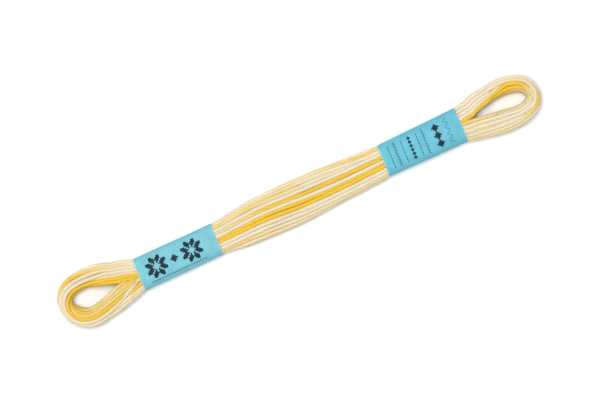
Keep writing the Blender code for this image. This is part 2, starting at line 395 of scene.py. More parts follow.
ROLLS = (
    Roll(-53.0, True, 0.0),
    Roll(-61.0, True, 10.0),
    Roll(-67.0, True, -25.0),
    Roll(-76.7, True, -62.0),
    Roll(-75.0, False, -78.0),
    Roll(-70.0, False, -66.0),
    Roll(-64.0, False, -60.0),
    Roll(-59.0, False, -30.0),
    Roll(-54.0, False, 5.0),
    Roll(-48.0, False, 0.0),
    Roll(57.0, False, 0.0),
    Roll(66.0, False, 0.0),
    Roll(76.5, True, 20.0),
    Roll(70.0, True, -30.0),
    Roll(60.0, True, 10.0),
    Roll(53.0, True, 0.0),
)


class Side(Enum):
    """Which side of the loop a track runs on."""

    UPPER = "the half on the +Y side"
    LOWER = "the half on the -Y side"
    LEFT_TIP = "round the -X end"
    RIGHT_TIP = "round the +X end"


# how far along from the middle a track of each half may lie, and from where one round a tip may
UPPER_REACH, LOWER_REACH, TIP_FROM = 60.0, 67.0, 50.0
# how many stations past the tip a tip's two halves overlap, and how high above it a track that only climbs starts
TIP_OVERLAP, TIP_RISE = 2, 2.0
# past this a roll is the tip's own, whichever half it names
TIP_ROLL = 76.0


class Dye(Enum):
    """How golden the thread is, from 0 to 1. Its first letter stands for it in a track."""

    CREAM = 0.0
    PALE = 0.22
    STRAW = 0.4
    YELLOW = 0.68
    GOLDEN = 1.0


DYES = {dye.name[0].lower(): dye.value for dye in Dye}


class Track(NamedTuple):
    """One turn that shows on top.

    dyes has a letter of DYES for each point (x, y) that the turn runs through. sunk is how far it lies below the
    bundle's top, spread evenly over its points; a sunk turn shows only as a line between its neighbours.
    """

    side: Side
    dyes: str
    points: tuple[tuple[float, float], ...]
    sunk: tuple[float, ...] = (0.0,)


BODY_TRACKS = (
    # from the body's +Y edge to its -Y edge
    Track(Side.UPPER, "ppcc", ((11, 6.25), (15, 6.15), (20, 5.9), (28, 5.65)), (0.7, 0.2, 0.0, 0.0)),
    Track(Side.UPPER, "cccccpppsssyyyy", (
        (-28, 3.95), (-24, 4.35), (-20, 5.05), (-15, 5.7), (-10, 6.0), (-4, 6.1), (2, 6.1), (6, 6.05), (9, 5.95),
        (12, 5.75), (14, 5.55), (16, 5.3), (20, 5.0), (24, 4.9), (28, 4.95))),
    Track(Side.UPPER, "cpppspsspcccccc", (
        (-26, 3.7), (-23, 4.05), (-20, 4.45), (-17, 4.85), (-14, 5.1), (-10, 5.15), (-6, 5.15), (-2, 5.15),
        (2, 5.15), (6, 5.1), (10, 4.95), (14, 4.6), (18, 4.25), (22, 4.05), (28, 4.1)),
        (0.45, 0.3, 0.25, 0.2, 0.0, 0.0, 0.0)),
    Track(Side.UPPER, "yypsysspppcppppp", (
        (-28, 2.85), (-25, 3.0), (-22, 3.35), (-19, 3.8), (-16, 4.05), (-13, 4.15), (-10, 4.15), (-5, 4.05),
        (-2, 4.0), (1, 4.0), (4, 3.95), (8, 3.9), (11, 3.8), (14, 3.65), (18, 3.55), (23, 3.55)),
        (0.0, 0.0, 0.0, 0.0, 0.15, 0.45)),
    Track(Side.UPPER, "ccccccccccc", (
        (-28, 1.85), (-24, 2.1), (-20, 2.6), (-15, 2.95), (-10, 3.05), (-5, 2.97), (2, 2.87), (8, 2.8), (14, 2.82),
        (20, 2.97), (28, 3.1))),
    Track(Side.UPPER, "sssyyggggggggg", (
        (-28, 1.0), (-24, 1.3), (-21, 1.6), (-18, 1.85), (-15, 1.95), (-12, 2.05), (-8, 1.95), (-4, 1.8), (0, 1.65),
        (5, 1.65), (10, 1.65), (16, 1.75), (22, 1.9), (28, 2.1))),
    Track(Side.UPPER, "ccccccccccc", (
        (-28, 0.15), (-24, 0.35), (-20, 0.65), (-15, 1.0), (-10, 1.1), (-5, 0.95), (0, 0.65), (6, 0.4), (14, 0.4),
        (20, 0.6), (28, 1.0))),
    Track(Side.LOWER, "gggggggggggg", (
        (-28, -0.8), (-24, -0.55), (-20, -0.2), (-15, 0.1), (-10, 0.2), (-6, 0.1), (-2, -0.15), (2, -0.35),
        (7, -0.45), (13, -0.35), (20, -0.05), (28, 0.35)), (0.5, 0.45, 0.3, 0.0, 0.0, 0.3, 0.5, 0.5)),
    Track(Side.LOWER, "gggggggggggg", (
        (-28, -1.55), (-24, -1.35), (-20, -1.1), (-15, -0.97), (-10, -1.02), (-5, -1.27), (0, -1.55), (5, -1.6),
        (10, -1.45), (16, -1.2), (22, -0.8), (28, -0.45))),
    Track(Side.LOWER, "cccccpccccc", (
        (-28, -2.65), (-24, -2.45), (-20, -2.2), (-15, -2.08), (-10, -2.15), (-5, -2.42), (1, -2.7), (8, -2.65),
        (15, -2.35), (21, -1.95), (28, -1.5))),
    Track(Side.LOWER, "ccccpcccccc", (
        (-28, -3.5), (-24, -3.42), (-19, -3.27), (-14, -3.27), (-9, -3.37), (-4, -3.58), (1, -3.77), (8, -3.67),
        (15, -3.35), (21, -2.9), (28, -2.4))),
    Track(Side.LOWER, "yyyysspppppssss", (
        (-28, -4.3), (-24, -4.35), (-20, -4.3), (-18, -4.35), (-15, -4.4), (-12, -4.47), (-9, -4.52), (-5, -4.68),
        (0, -4.8), (4, -4.75), (9, -4.5), (14, -4.25), (19, -3.8), (24, -3.4), (28, -3.2))),
    Track(Side.LOWER, "ccpsppp", (
        (-25, -4.8), (-20, -5.25), (-15, -5.42), (-9, -5.62), (-3, -5.68), (2, -5.5), (8, -5.1)),
        (0.3, 0.1, 0.1, 0.1, 0.3)),
)
LEFT_TRACKS = (
    # the eye's rim, from its outer side inward; each runs from the band over the +Y bundle and round the tip
    Track(Side.LEFT_TIP, "ccccccc", (
        (-54, 3.95), (-57, 4.75), (-60, 5.65), (-63, 6.4), (-66, 6.95), (-69, 7.2), (-71.5, 7.05))),
    Track(Side.LEFT_TIP, "cpsssyyygggyyysp", (
        (-54, 3.0), (-56, 3.6), (-58, 4.3), (-60, 5.0), (-62, 5.45), (-63.4, 5.7), (-65, 5.95), (-67.9, 6.25),
        (-70, 6.35), (-72, 6.25), (-74, 5.8), (-75, 5.4), (-76.2, 4.65), (-77.2, 3.6), (-78, 2.2), (-78.5, 0.8))),
    Track(Side.LEFT_TIP, "ccpppppccccccccccpppc", (
        (-54, 2.0), (-57, 2.95), (-60, 3.95), (-63, 4.65), (-66, 5.05), (-70, 5.15), (-72.5, 4.95), (-74.5, 4.3),
        (-76.4, 3.0), (-77.8, 1.1), (-78.4, -1.0), (-78.35, -2.8), (-77.8, -4.9), (-76.4, -6.8), (-74.6, -8.15),
        (-72.5, -8.95), (-70, -9.15), (-67, -8.75), (-63, -8.05), (-60, -7.3), (-56, -5.9))),
    Track(Side.LEFT_TIP, "ccpppcpccccccccpppppccc", (
        (-54, 1.0), (-57, 1.9), (-60, 2.95), (-63, 3.5), (-66, 3.75), (-70, 3.9), (-72.5, 3.75), (-74.5, 3.1),
        (-76.1, 1.9), (-77.2, 0.0), (-77.65, -2.2), (-77.45, -4.1), (-76.5, -5.8), (-75, -7.05), (-73, -7.9),
        (-70, -8.2), (-67, -7.85), (-64, -7.15), (-62, -6.4), (-60, -5.5), (-58, -4.25), (-56, -2.95), (-54, -2.1))),
    Track(Side.LEFT_TIP, "ppspp", ((-54, 0.15), (-57, 1.0), (-60, 1.9), (-62.5, 2.35), (-65, 2.85)), (0.0, 0.4)),
    Track(Side.LEFT_TIP, "ggggggggggggggggggggggggy", (
        (-54, -0.45), (-57, 0.15), (-60, 0.9), (-62, 1.15), (-63.4, 1.5), (-65, 1.95), (-66.4, 2.3), (-68, 2.55),
        (-70, 2.7), (-72.5, 2.55), (-74.2, 1.9), (-75.4, 0.9), (-76.2, -0.4), (-76.6, -2.0), (-76.5, -3.6),
        (-75.9, -4.95), (-74.9, -6.05), (-73, -6.85), (-71, -7.15), (-69, -7.1), (-66.5, -6.6), (-64, -6.0),
        (-61.7, -5.2), (-60, -4.55), (-58, -3.55))),
    Track(Side.LEFT_TIP, "gggggggggggyyyyyyyyyyssyyy", (
        (-54, -1.4), (-56, -1.05), (-58, -0.65), (-60, -0.1), (-62, 0.35), (-63.4, 0.75), (-65, 1.3), (-66.4, 1.7),
        (-68, 2.0), (-70, 2.15), (-72.5, 1.95), (-74, 1.3), (-75, 0.3), (-75.5, -1.0), (-75.7, -2.6), (-75.4, -4.1),
        (-74.5, -5.2), (-73, -5.85), (-71, -6.15), (-69, -6.05), (-67, -5.55), (-65, -5.05), (-63, -4.45),
        (-61, -3.8), (-58, -2.95), (-54, -2.6)), (0.0, 0.0, 0.1, 0.15, 0.15, 0.0, 0.0, 0.0, 0.0)),
    Track(Side.LEFT_TIP, "ggggyyyyyg", (
        (-75.0, -3.0), (-74, -4.25), (-73, -4.75), (-71.5, -5.2), (-70, -5.3), (-67, -4.75), (-64, -3.9),
        (-61, -2.85), (-58, -2.0), (-56, -1.8))),
    # along the hole's -Y edge the pale and straw stand for cream with painted shade in it
    Track(Side.LEFT_TIP, "yyspcspspyg", (
        (-74.6, -2.3), (-73.3, -3.7), (-72, -4.25), (-70, -4.4), (-68, -4.25), (-66, -3.8), (-64, -3.15),
        (-62.5, -2.15), (-61, -1.4), (-59, -1.2), (-57, -1.3))),
    # the turns that cross below the band's mouth
    Track(Side.LOWER, "yggg", ((-59.3, -5.6), (-57.5, -4.95), (-56, -4.35), (-54, -3.55))),
    Track(Side.LOWER, "spcccc", (
        (-65.5, -7.95), (-63, -7.3), (-61, -6.75), (-59, -6.25), (-57, -5.55), (-54, -4.7)), (0.5, 0.3, 0.0, 0.0)),
)
RIGHT_TRACKS = (
    # the same for the other eye
    Track(Side.RIGHT_TIP, "ccccccccccccc", (
        (54, 6.75), (57, 7.3), (60, 8.15), (63, 8.75), (65, 9.05), (67, 9.25), (70, 9.2), (72, 8.95), (74, 8.4),
        (76, 7.3), (77.5, 5.9), (78.3, 4.3), (78.5, 3.0))),
    Track(Side.RIGHT_TIP, "cccpccpppsscccc", (
        (54, 5.65), (57, 6.2), (60, 7.05), (63, 7.7), (65, 8.0), (67.5, 8.4), (70, 8.4), (72, 8.15), (74, 7.5),
        (76, 6.1), (77.0, 4.4), (77.4, 2.6), (77.1, 0.8), (76.2, -0.8), (74.4, -2.1))),
    Track(Side.RIGHT_TIP, "cccccp", ((54, 4.55), (57, 5.1), (60, 6.0), (63, 6.7), (65, 7.1), (66.5, 7.5))),
    Track(Side.RIGHT_TIP, "cccpss", ((54, 3.5), (57, 4.0), (59, 4.6), (61, 5.3), (63, 5.8), (64.5, 6.25))),
    Track(Side.RIGHT_TIP, "gggggggggggggggyp", (
        (53.7, 2.4), (55, 2.45), (57, 2.75), (58, 3.05), (60, 3.9), (62, 4.5), (63.5, 4.95), (65, 5.5),
        (66.5, 6.25), (68, 6.9), (70, 7.35), (71.5, 7.3), (73, 6.85), (74.2, 6.1), (75.2, 5.1), (75.9, 4.0),
        (76.25, 2.9))),
    Track(Side.RIGHT_TIP, "gggggggggy", (
        (63.5, 4.5), (65, 4.9), (66.5, 5.35), (68, 5.75), (70, 6.05), (72, 5.8), (73.5, 5.15), (74.8, 4.1),
        (75.6, 3.0), (75.95, 2.0)), (0.5, 0.2, 0.0, 0.0, 0.0, 0.0, 0.1)),
    Track(Side.RIGHT_TIP, "yyyyyysspppsssyyyy", (
        (66, 4.75), (68, 5.0), (70, 5.05), (72, 4.8), (73.6, 3.95), (74.8, 2.8), (75.4, 1.9), (75.0, 0.9),
        (73.6, 0.2), (71.5, -0.1), (69, -0.1), (67, 0.15), (65, 0.4), (62, 0.75), (60, 1.1), (58.5, 1.5),
        (56.5, 1.75), (54, 1.7)), (0.3, 0.3, 0.3, 0.2, 0.0, 0.0, 0.0, 0.0)),
    Track(Side.RIGHT_TIP, "spcccccccc", (
        (76.5, 1.8), (75.9, 0.3), (74.4, -0.75), (72, -1.15), (69, -1.2), (66, -0.75), (63, -0.4), (60, 0.0),
        (58, 0.35), (54, 0.55))),
    Track(Side.RIGHT_TIP, "pyyyyp", (
        (67, -1.6), (65, -1.35), (62, -0.95), (59, -0.7), (57, -0.55), (54, -0.35)), (0.3,)),
    Track(Side.RIGHT_TIP, "cccccccc", (
        (76.3, 0.0), (74.7, -1.5), (72.5, -2.1), (70, -2.3), (67, -2.2), (64, -1.85), (60, -1.45), (55, -1.05))),
    Track(Side.RIGHT_TIP, "psyysp", (
        (67, -2.8), (65, -2.7), (63, -2.5), (60.5, -2.2), (58.5, -1.95), (54, -1.55)), (0.3,)),
    Track(Side.RIGHT_TIP, "cccccc", ((73, -3.0), (70, -3.4), (66, -3.4), (62, -3.05), (58, -2.55), (55, -2.15))),
    Track(Side.RIGHT_TIP, "yggggyssppspssy", (
        (78.6, 1.8), (78.4, 0.5), (77.75, -0.65), (76.8, -1.6), (75.6, -2.3), (74.3, -2.9), (72.5, -3.5),
        (70, -4.1), (68, -4.4), (65, -4.45), (62, -4.15), (60, -3.9), (58, -3.65), (55, -3.15), (53.7, -2.95))),
    Track(Side.RIGHT_TIP, "cccppsppc", (
        (76.7, -2.35), (75.1, -3.4), (73, -4.25), (71, -4.85), (68, -5.22), (65, -5.2), (62.5, -4.88), (60, -4.55),
        (57, -4.1))),
    Track(Side.RIGHT_TIP, "ccpppcc", (
        (75.4, -3.75), (73.4, -4.65), (71, -5.15), (68, -5.47), (65, -5.45), (62, -5.1), (59, -4.6)), (0.35,)),
)
TRACKS = BODY_TRACKS + LEFT_TRACKS + RIGHT_TRACKS


class Wander(NamedTuple):
    """A slow unevenness along the thread: its size, and its shortest and longest wave in millimetres."""

    size: float
    shortest: float
    longest: float


@dataclass
class Winding:
    """Lays one thread round the loop, turn beside turn, so that the turns fill their room evenly.

    Attributes:
        room: the space for the turns.
        turns: how many turns there are.
        outer_lanes: how many of them start in the outer ring; middle_lanes start in the next, the rest in the core.
        ring_radii: each ring's radius in a unit disc; ring_starts has the angle where its first lane is.
        thread: the thread's radius.
        apart: how far apart two turns' middles come to lie.
        change_over: how far along, on each side of the seam, a turn takes to reach the next one's lane.
        turning: how a lane wanders round the disc, by core_turning less its reach, within turning_share.
        reaching: how a lane wanders outward, up to farthest.
        shell_from: the reach from which a turn is drawn to the wall, fully so shell_ease farther out.
        facing: how far inward, as a share, a turn of the body is no longer drawn to the wall, fully so facing_ease out.
        shell_pull: how strongly a turn is drawn to the wall; wall_least is the least reach that counts.
        first_rounds: how often the turns are moved before the tracks take hold; rounds is how often after that.
        push_share: how much of a push is taken in a round.
        home_share: how strongly a turn is drawn back to where the rounds began, less and less.
        smoothing: how strongly each point is drawn to its neighbours, smoothings times in a round.
        track_pull: how strongly a track draws its turn, fully so track_ease stations from its ends.
        free_between: how many stations two tracks on one turn leave between them.
        lowest: how low a turn's middle may lie.
        brink: how far out from the bundle's middle a turn on top may lie, as a share.
        set_clear: how near a turn is set to the inner wall, in radii; held_clear is how near it is held.
        hold: how many stations a track that ends by a band goes on under the paper; by_mouth is how near that is.
        duck: how strongly a track pushes down the turns on top that crowd it.
        duck_ease: how far above the bundle's middle a turn fully counts as on top.
        drift_waves: how many waves each wander has.
        seed: the wander's own.
    """

    room: Room
    turns: int = 25
    outer_lanes: int = 16
    middle_lanes: int = 7
    ring_radii: tuple[float, ...] = (0.93, 0.55, 0.14)
    ring_starts: tuple[float, ...] = (0.0, 0.3, 0.9)
    thread: float = 0.53
    apart: float = 1.17
    change_over: float = 11.0
    turning: Wander = Wander(0.16, 45.0, 140.0)
    core_turning: float = 1.4
    turning_share: tuple[float, float] = (0.4, 1.0)
    reaching: Wander = Wander(0.10, 30.0, 90.0)
    farthest: float = 0.97
    shell_from: float = 0.75
    shell_ease: float = 0.1
    facing: float = 0.6
    facing_ease: float = 0.4
    shell_pull: float = 0.16
    wall_least: float = 0.3
    first_rounds: int = 160
    rounds: int = 420
    push_share: float = 0.55
    home_share: float = 0.02
    smoothing: float = 0.25
    smoothings: int = 2
    track_pull: float = 0.6
    track_ease: int = 4
    free_between: int = 3
    lowest: float = 0.655
    brink: float = 0.985
    set_clear: float = 0.6
    held_clear: float = 0.7
    hold: int = 4
    by_mouth: float = 2.5
    duck: float = 0.5
    duck_ease: float = 1.0
    drift_waves: int = 6
    seed: int = 11

    def __post_init__(self) -> None:
        """Sets the turns out, lets them settle, then draws the turns that show on top to their tracks."""
        self.drift_source = np.random.default_rng(self.seed)
        self.places = self.set_out()
        shape = self.places.shape[:2]
        self.pull = np.zeros(shape)
        self.goal = np.zeros((*shape, 2))
        self.dyed = np.full(shape, -1.0)
        self.settle(self.first_rounds)
        self.follow_tracks()
        self.settle(self.rounds)

    def stations_of(self, track: Track) -> list[np.ndarray]:
        """The stations that each point of a track may lie at.

        Args:
            track: the track. A tip's track goes from its +Y half to its -Y one.

        Returns:
            For each point of the track, the stations to choose from.
        """
        at, order = self.room.at, np.arange(self.room.stations)
        upper = at["out_y"] > 0
        if track.side is Side.UPPER:
            return [order[upper & (abs(at["x"]) < UPPER_REACH)]] * len(track.points)
        if track.side is Side.LOWER:
            return [order[~upper & (abs(at["x"]) < LOWER_REACH)]] * len(track.points)
        outward = 1.0 if track.side is Side.RIGHT_TIP else -1.0
        near = outward * at["x"] > TIP_FROM
        tip = int(np.argmax(outward * at["x"]))
        past = (order - tip) * outward
        first, second = order[near & (past >= -TIP_OVERLAP)], order[near & (past <= TIP_OVERLAP)]
        tip_y, ys = at["y"][tip], [y for _, y in track.points]
        farthest = int(np.argmax([outward * x for x, _ in track.points]))
        if len(ys) > 1 and farthest == 0 and ys[0] > tip_y + TIP_RISE:
            farthest = len(ys)
        return [first if k < farthest or (k == farthest and y > tip_y) else second for k, y in enumerate(ys)]

    def measure(self, x: float, y: float, chosen: np.ndarray) -> tuple[float, float]:
        """Measures a point from the station nearest to it.

        Args:
            x: the point's place along the skein.
            y: its place across it.
            chosen: the stations to choose from.

        Returns:
            How far along the loop it lies and how far outward.
        """
        room, at = self.room, self.room.at
        nearest = chosen[int(np.argmin(np.hypot(at["x"][chosen] - x, at["y"][chosen] - y)))]
        following = min(nearest + 1, room.stations - 1)
        outward = np.array([at["out_x"][nearest], at["out_y"][nearest]])
        ahead = np.array([-outward[1], outward[0]])
        offset = np.array([x - at["x"][nearest], y - at["y"][nearest]])
        heading = np.array([at["x"][following] - at["x"][nearest], at["y"][following] - at["y"][nearest]])
        slip = float(offset @ ahead) * math.copysign(1.0, float(heading @ ahead))
        return room.along[nearest] + slip, float(offset @ outward)

    def on_track(self, track: Track) -> tuple[np.ndarray, np.ndarray, np.ndarray, np.ndarray]:
        """Where a track runs.

        Args:
            track: the track.

        Returns:
            The stations that it passes, how far out it lies at each, its dye there and how far it is sunk.
        """
        along, count = self.room.along, len(track.points)
        measured = [self.measure(*point, chosen) for point, chosen in zip(track.points, self.stations_of(track))]
        keys, outs = np.array(measured).T
        order = np.argsort(keys)
        keys, outs = keys[order], outs[order]
        dyes = np.array([DYES[letter] for letter in track.dyes])[order]
        sunk = np.interp(np.linspace(0, 1, count), np.linspace(0, 1, len(track.sunk)), track.sunk)[order]
        first, last = (int(np.argmin(abs(along - key))) for key in (keys[0], keys[-1]))
        first -= self.hold * self.at_mouth(first)
        last += self.hold * self.at_mouth(last)
        passed = np.arange(max(first, 0), min(last, self.room.stations - 1) + 1)
        read = np.clip(along[passed], keys[0], keys[-1])
        out = smooth_rows(outs[:, None], keys, read)[:, 0]
        return passed, out, np.interp(read, keys, dyes), np.interp(read, keys, sunk)

    def at_mouth(self, station: int) -> bool:
        """Whether a station is close to a band's mouth, where a track goes on under the paper."""
        x = float(self.room.at["x"][station])
        return any(abs(x - end.x) < self.by_mouth for band in BANDS for end in band)

    def on_top(self, stations: np.ndarray, out: np.ndarray) -> np.ndarray:
        """How high a turn's middle lies on top of the bundle.

        Args:
            stations: the stations to read.
            out: how far outward the turn lies at each.

        Returns:
            Its height at each.
        """
        at = self.room.at
        reach = np.abs(out - at["centre_u"][stations]) / (at["half_u"][stations] - self.thread)
        power = at["power"][stations]
        arch = (1 - np.clip(reach, 0.0, self.brink) ** power) ** (1 / power)
        return at["centre_v"][stations] + (at["half_v"][stations] - self.thread) * arch

    def follow_tracks(self) -> None:
        """Gives each track the free turn that runs nearest to it."""
        taken = np.zeros(self.places.shape[:2], bool)
        for track in TRACKS:
            passed, out, dye, sunk = self.on_track(track)
            target = np.column_stack([out, self.on_top(passed, out) - sunk])
            away = np.linalg.norm(self.places[:, passed] - target[None], axis=2).mean(axis=1)
            away[taken[:, passed].any(axis=1)] = FAR
            turn = int(np.argmin(away))
            taken[turn, max(passed[0] - self.free_between, 0) : passed[-1] + self.free_between + 1] = True
            from_ends = np.minimum(np.arange(len(passed)), np.arange(len(passed))[::-1])
            self.pull[turn, passed] = self.track_pull * ease((from_ends + 1) / self.track_ease)
            self.goal[turn, passed] = target
            self.dyed[turn, passed] = dye

    def lanes(self) -> np.ndarray:
        """Each turn's place in a unit disc.

        Returns:
            The places: an outer ring, a middle ring and a core.
        """
        counts = (self.outer_lanes, self.middle_lanes, self.turns - self.outer_lanes - self.middle_lanes)
        places = []
        for count, radius, start in zip(counts, self.ring_radii, self.ring_starts):
            angles = start + 2 * math.pi * np.arange(count) / count
            places.append(np.column_stack([radius * np.cos(angles), radius * np.sin(angles)]))
        return np.concatenate(places)

    def roll(self) -> np.ndarray:
        """How far the bundle has rolled about its own length.

        Returns:
            The roll at every station, in radians.
        """
        room = self.room
        keys, values = [], []
        for row in ROLLS:
            side = room.at["out_y"] > 0 if row.upper else room.at["out_y"] <= 0
            near = np.where(side | (abs(row.x) > TIP_ROLL), abs(room.at["x"] - row.x), FAR)
            keys.append(room.along[int(np.argmin(near))])
            values.append(math.radians(row.degrees))
        order = np.argsort(keys)
        return evened(np.interp(room.along, np.array(keys)[order], np.array(values)[order]), Ends.ROUND)

    def drift(self, chain: np.ndarray, wander: Wander) -> np.ndarray:
        """A slow, smooth wander along the thread, from a few waves with no common period.

        Args:
            chain: places along the thread, in millimetres.
            wander: how large and how slow it is.

        Returns:
            The wander at each place.
        """
        source = self.drift_source
        total = np.zeros_like(chain)
        for _ in range(self.drift_waves):
            length = source.uniform(wander.shortest, wander.longest)
            total += np.sin(2 * math.pi * (chain / length + source.uniform()))
        return wander.size * total / math.sqrt(self.drift_waves / 2)

    def set_out(self) -> np.ndarray:
        """Gives every turn its first place at every station.

        Returns:
            The places, as (turn, station, u and v).
        """
        room, lanes = self.room, self.lanes()
        before = np.minimum(room.along, self.change_over)
        after = np.minimum(room.turn_length - room.along, self.change_over)
        share = 0.5 * ease(before / self.change_over) + 0.5 * ease(after / self.change_over)
        disc = np.empty((self.turns, room.stations, 2))
        for turn in range(self.turns):
            previous, following = lanes[max(turn - 1, 0)], lanes[min(turn + 1, self.turns - 1)]
            other = np.where((before < after)[:, None], previous, following)
            disc[turn] = lanes[turn] * share[:, None] + other * (1 - share)[:, None]
        chain = np.arange(self.turns)[:, None] * room.turn_length + room.along[None]
        angle = np.arctan2(disc[..., 1], disc[..., 0]) + self.roll()[None]
        own_reach = np.hypot(disc[..., 0], disc[..., 1])
        angle = angle + self.drift(chain, self.turning) * np.clip(self.core_turning - own_reach, *self.turning_share)
        reach = np.clip(own_reach * (1 + self.drift(chain, self.reaching)), 0.0, self.farthest)
        p, q = reach * np.cos(angle), reach * np.sin(angle)
        in_eye = np.isin(np.arange(room.stations), room.eyes)
        outward = np.where(in_eye, 1.0, ease((p + self.facing) / self.facing_ease))
        self.shell = self.shell_pull * ease((own_reach - self.shell_from) / self.shell_ease) * outward
        return self.into_room(p, q)

    def into_room(self, p: np.ndarray, q: np.ndarray) -> np.ndarray:
        """Stretches places in a unit disc to fill the room at each station.

        Args:
            p: how far outward each place is in the disc.
            q: how far up it is.

        Returns:
            The places in the room, as (turn, station, u and v).
        """
        at, thread = self.room.at, self.thread
        spread = (1 - np.abs(q) ** at["power"]) ** (1 / at["power"])
        outer = at["centre_u"] + (at["half_u"] - thread) * spread
        inner = np.maximum(at["inner"] + self.set_clear * thread, at["centre_u"] - (at["half_u"] - thread) * spread)
        u = (outer + inner) / 2 + (outer - inner) / 2 * p / np.sqrt(np.maximum(1 - q * q, SLIGHT))
        return np.stack([u, at["centre_v"] + (at["half_v"] - thread) * q], axis=-1)

    def apart_push(self, places: np.ndarray, tracked: np.ndarray, middle: np.ndarray) -> np.ndarray:
        """How far the threads at each station are pushed by those too near them.

        Args:
            places: the threads' places, as (thread, station, across and up).
            tracked: whether each thread follows a track there.
            middle: the height of the bundle's middle at each station.

        Returns:
            The pushes. A thread on top with no track is also pushed down by those that have one.
        """
        own = np.arange(len(places))
        gap = places[:, None] - places[None]
        distance = np.sqrt((gap**2).sum(-1)) + TINY
        near = np.clip(self.apart - distance, 0.0, None)
        near[own, own] = 0.0
        push = ((0.5 * near / distance)[..., None] * gap).sum(1)
        on_top = ease((places[..., 1] - middle) / self.duck_ease)
        push[..., 1] -= self.duck * ((near * tracked[None]).sum(1) * ~tracked * on_top)
        return push

    def in_section(self, places: np.ndarray) -> tuple[np.ndarray, np.ndarray, np.ndarray, np.ndarray]:
        """Measures places from the middle of their room.

        Args:
            places: the turns' places, as (turn, station, u and v).

        Returns:
            The room's lean at each, u and v from the middle, and how far out each is, with the wall at 1.
        """
        at = self.room.at
        lean = at["lean"] * (places[..., 1] / at["height"] - 0.5)
        u, v = places[..., 0] - lean - at["centre_u"], places[..., 1] - at["centre_v"]
        p, q = np.abs(u / (at["half_u"] - self.thread)), np.abs(v / (at["half_v"] - self.thread))
        return lean, u, v, (p ** at["power"] + q ** at["power"]) ** (1 / at["power"])

    def to_wall(self, places: np.ndarray) -> np.ndarray:
        """The way from each place straight out to the wall of its room.

        Args:
            places: the turns' places, as (turn, station, u and v).

        Returns:
            The way, in the same columns.
        """
        _, u, v, reach = self.in_section(places)
        out = 1.0 / np.maximum(reach, self.wall_least) - 1.0
        return np.stack([u * out, v * out], axis=-1)

    def settle(self, rounds: int) -> None:
        """Pushes the turns apart, keeps each smooth along its length, and holds all of them in their room.

        Args:
            rounds: how often they are moved.
        """
        room, at = self.room, self.room.at
        places, home = self.places, self.places.copy()
        pull, shell = self.pull[..., None], self.shell[..., None]
        flip = np.array([-1.0, 1.0])
        tracked = self.dyed >= 0
        both_tracked = np.concatenate([tracked[:, room.upper], tracked[:, room.lower]])
        halves = (room.upper, room.lower)
        upper_middle, lower_middle = (np.column_stack([at["y"][half], np.zeros(len(half))]) for half in halves)
        for number in range(rounds):
            push = np.zeros_like(places)
            push[:, room.eyes] = self.apart_push(places[:, room.eyes], tracked[:, room.eyes], at["centre_v"][room.eyes])
            upper = places[:, room.upper] + upper_middle
            lower = places[:, room.lower] * flip + lower_middle
            both = self.apart_push(np.concatenate([upper, lower]), both_tracked, at["centre_v"][room.upper])
            push[:, room.upper] = both[: self.turns]
            push[:, room.lower] = both[self.turns :] * flip
            places = places + self.push_share * push + self.home_share * (1 - number / rounds) * (home - places)
            places = places + shell * self.to_wall(places)
            places = places + pull * (self.goal - places)
            chain = places.reshape(-1, 2)
            for _ in range(self.smoothings):
                chain[1:-1] += self.smoothing * (chain[:-2] + chain[2:] - 2 * chain[1:-1])
            places = self.held_in(chain.reshape(places.shape))
        self.places = places

    def held_in(self, places: np.ndarray) -> np.ndarray:
        """Brings back into the room what left it.

        Args:
            places: the turns' places, as (turn, station, u and v).

        Returns:
            The places, none of them outside the room.
        """
        at = self.room.at
        lean, u, v, reach = self.in_section(places)
        back = 1.0 / np.maximum(reach, 1.0)
        u, v = u * back + at["centre_u"], v * back + at["centre_v"]
        v = np.maximum(v, self.lowest * at["slack"] + at["floor"])
        u = np.maximum(u, at["inner"] + self.held_clear * self.thread)
        return np.stack([u + lean, v], axis=-1)

    def line(self) -> tuple[np.ndarray, np.ndarray]:
        """The thread's middle line from end to end.

        Returns:
            Its points in millimetres, and how slack the thread is at each, 1 where nothing presses it.
        """
        at = self.room.at
        x = at["x"] + at["out_x"] * self.places[..., 0]
        y = at["y"] + at["out_y"] * self.places[..., 0]
        points = np.stack([x, y, self.places[..., 1]], axis=-1).reshape(-1, 3)
        slack = np.broadcast_to(at["slack"], self.places.shape[:2]).reshape(-1)
        return points, slack


# ---------------------------------------------------------------------------------------------------------------
# Materials


class Blend(Enum):
    """How one colour is laid over another."""

    COVER = "MIX"
    # multiplies the colour below; used for painted shade
    STAIN = "MULTIPLY"


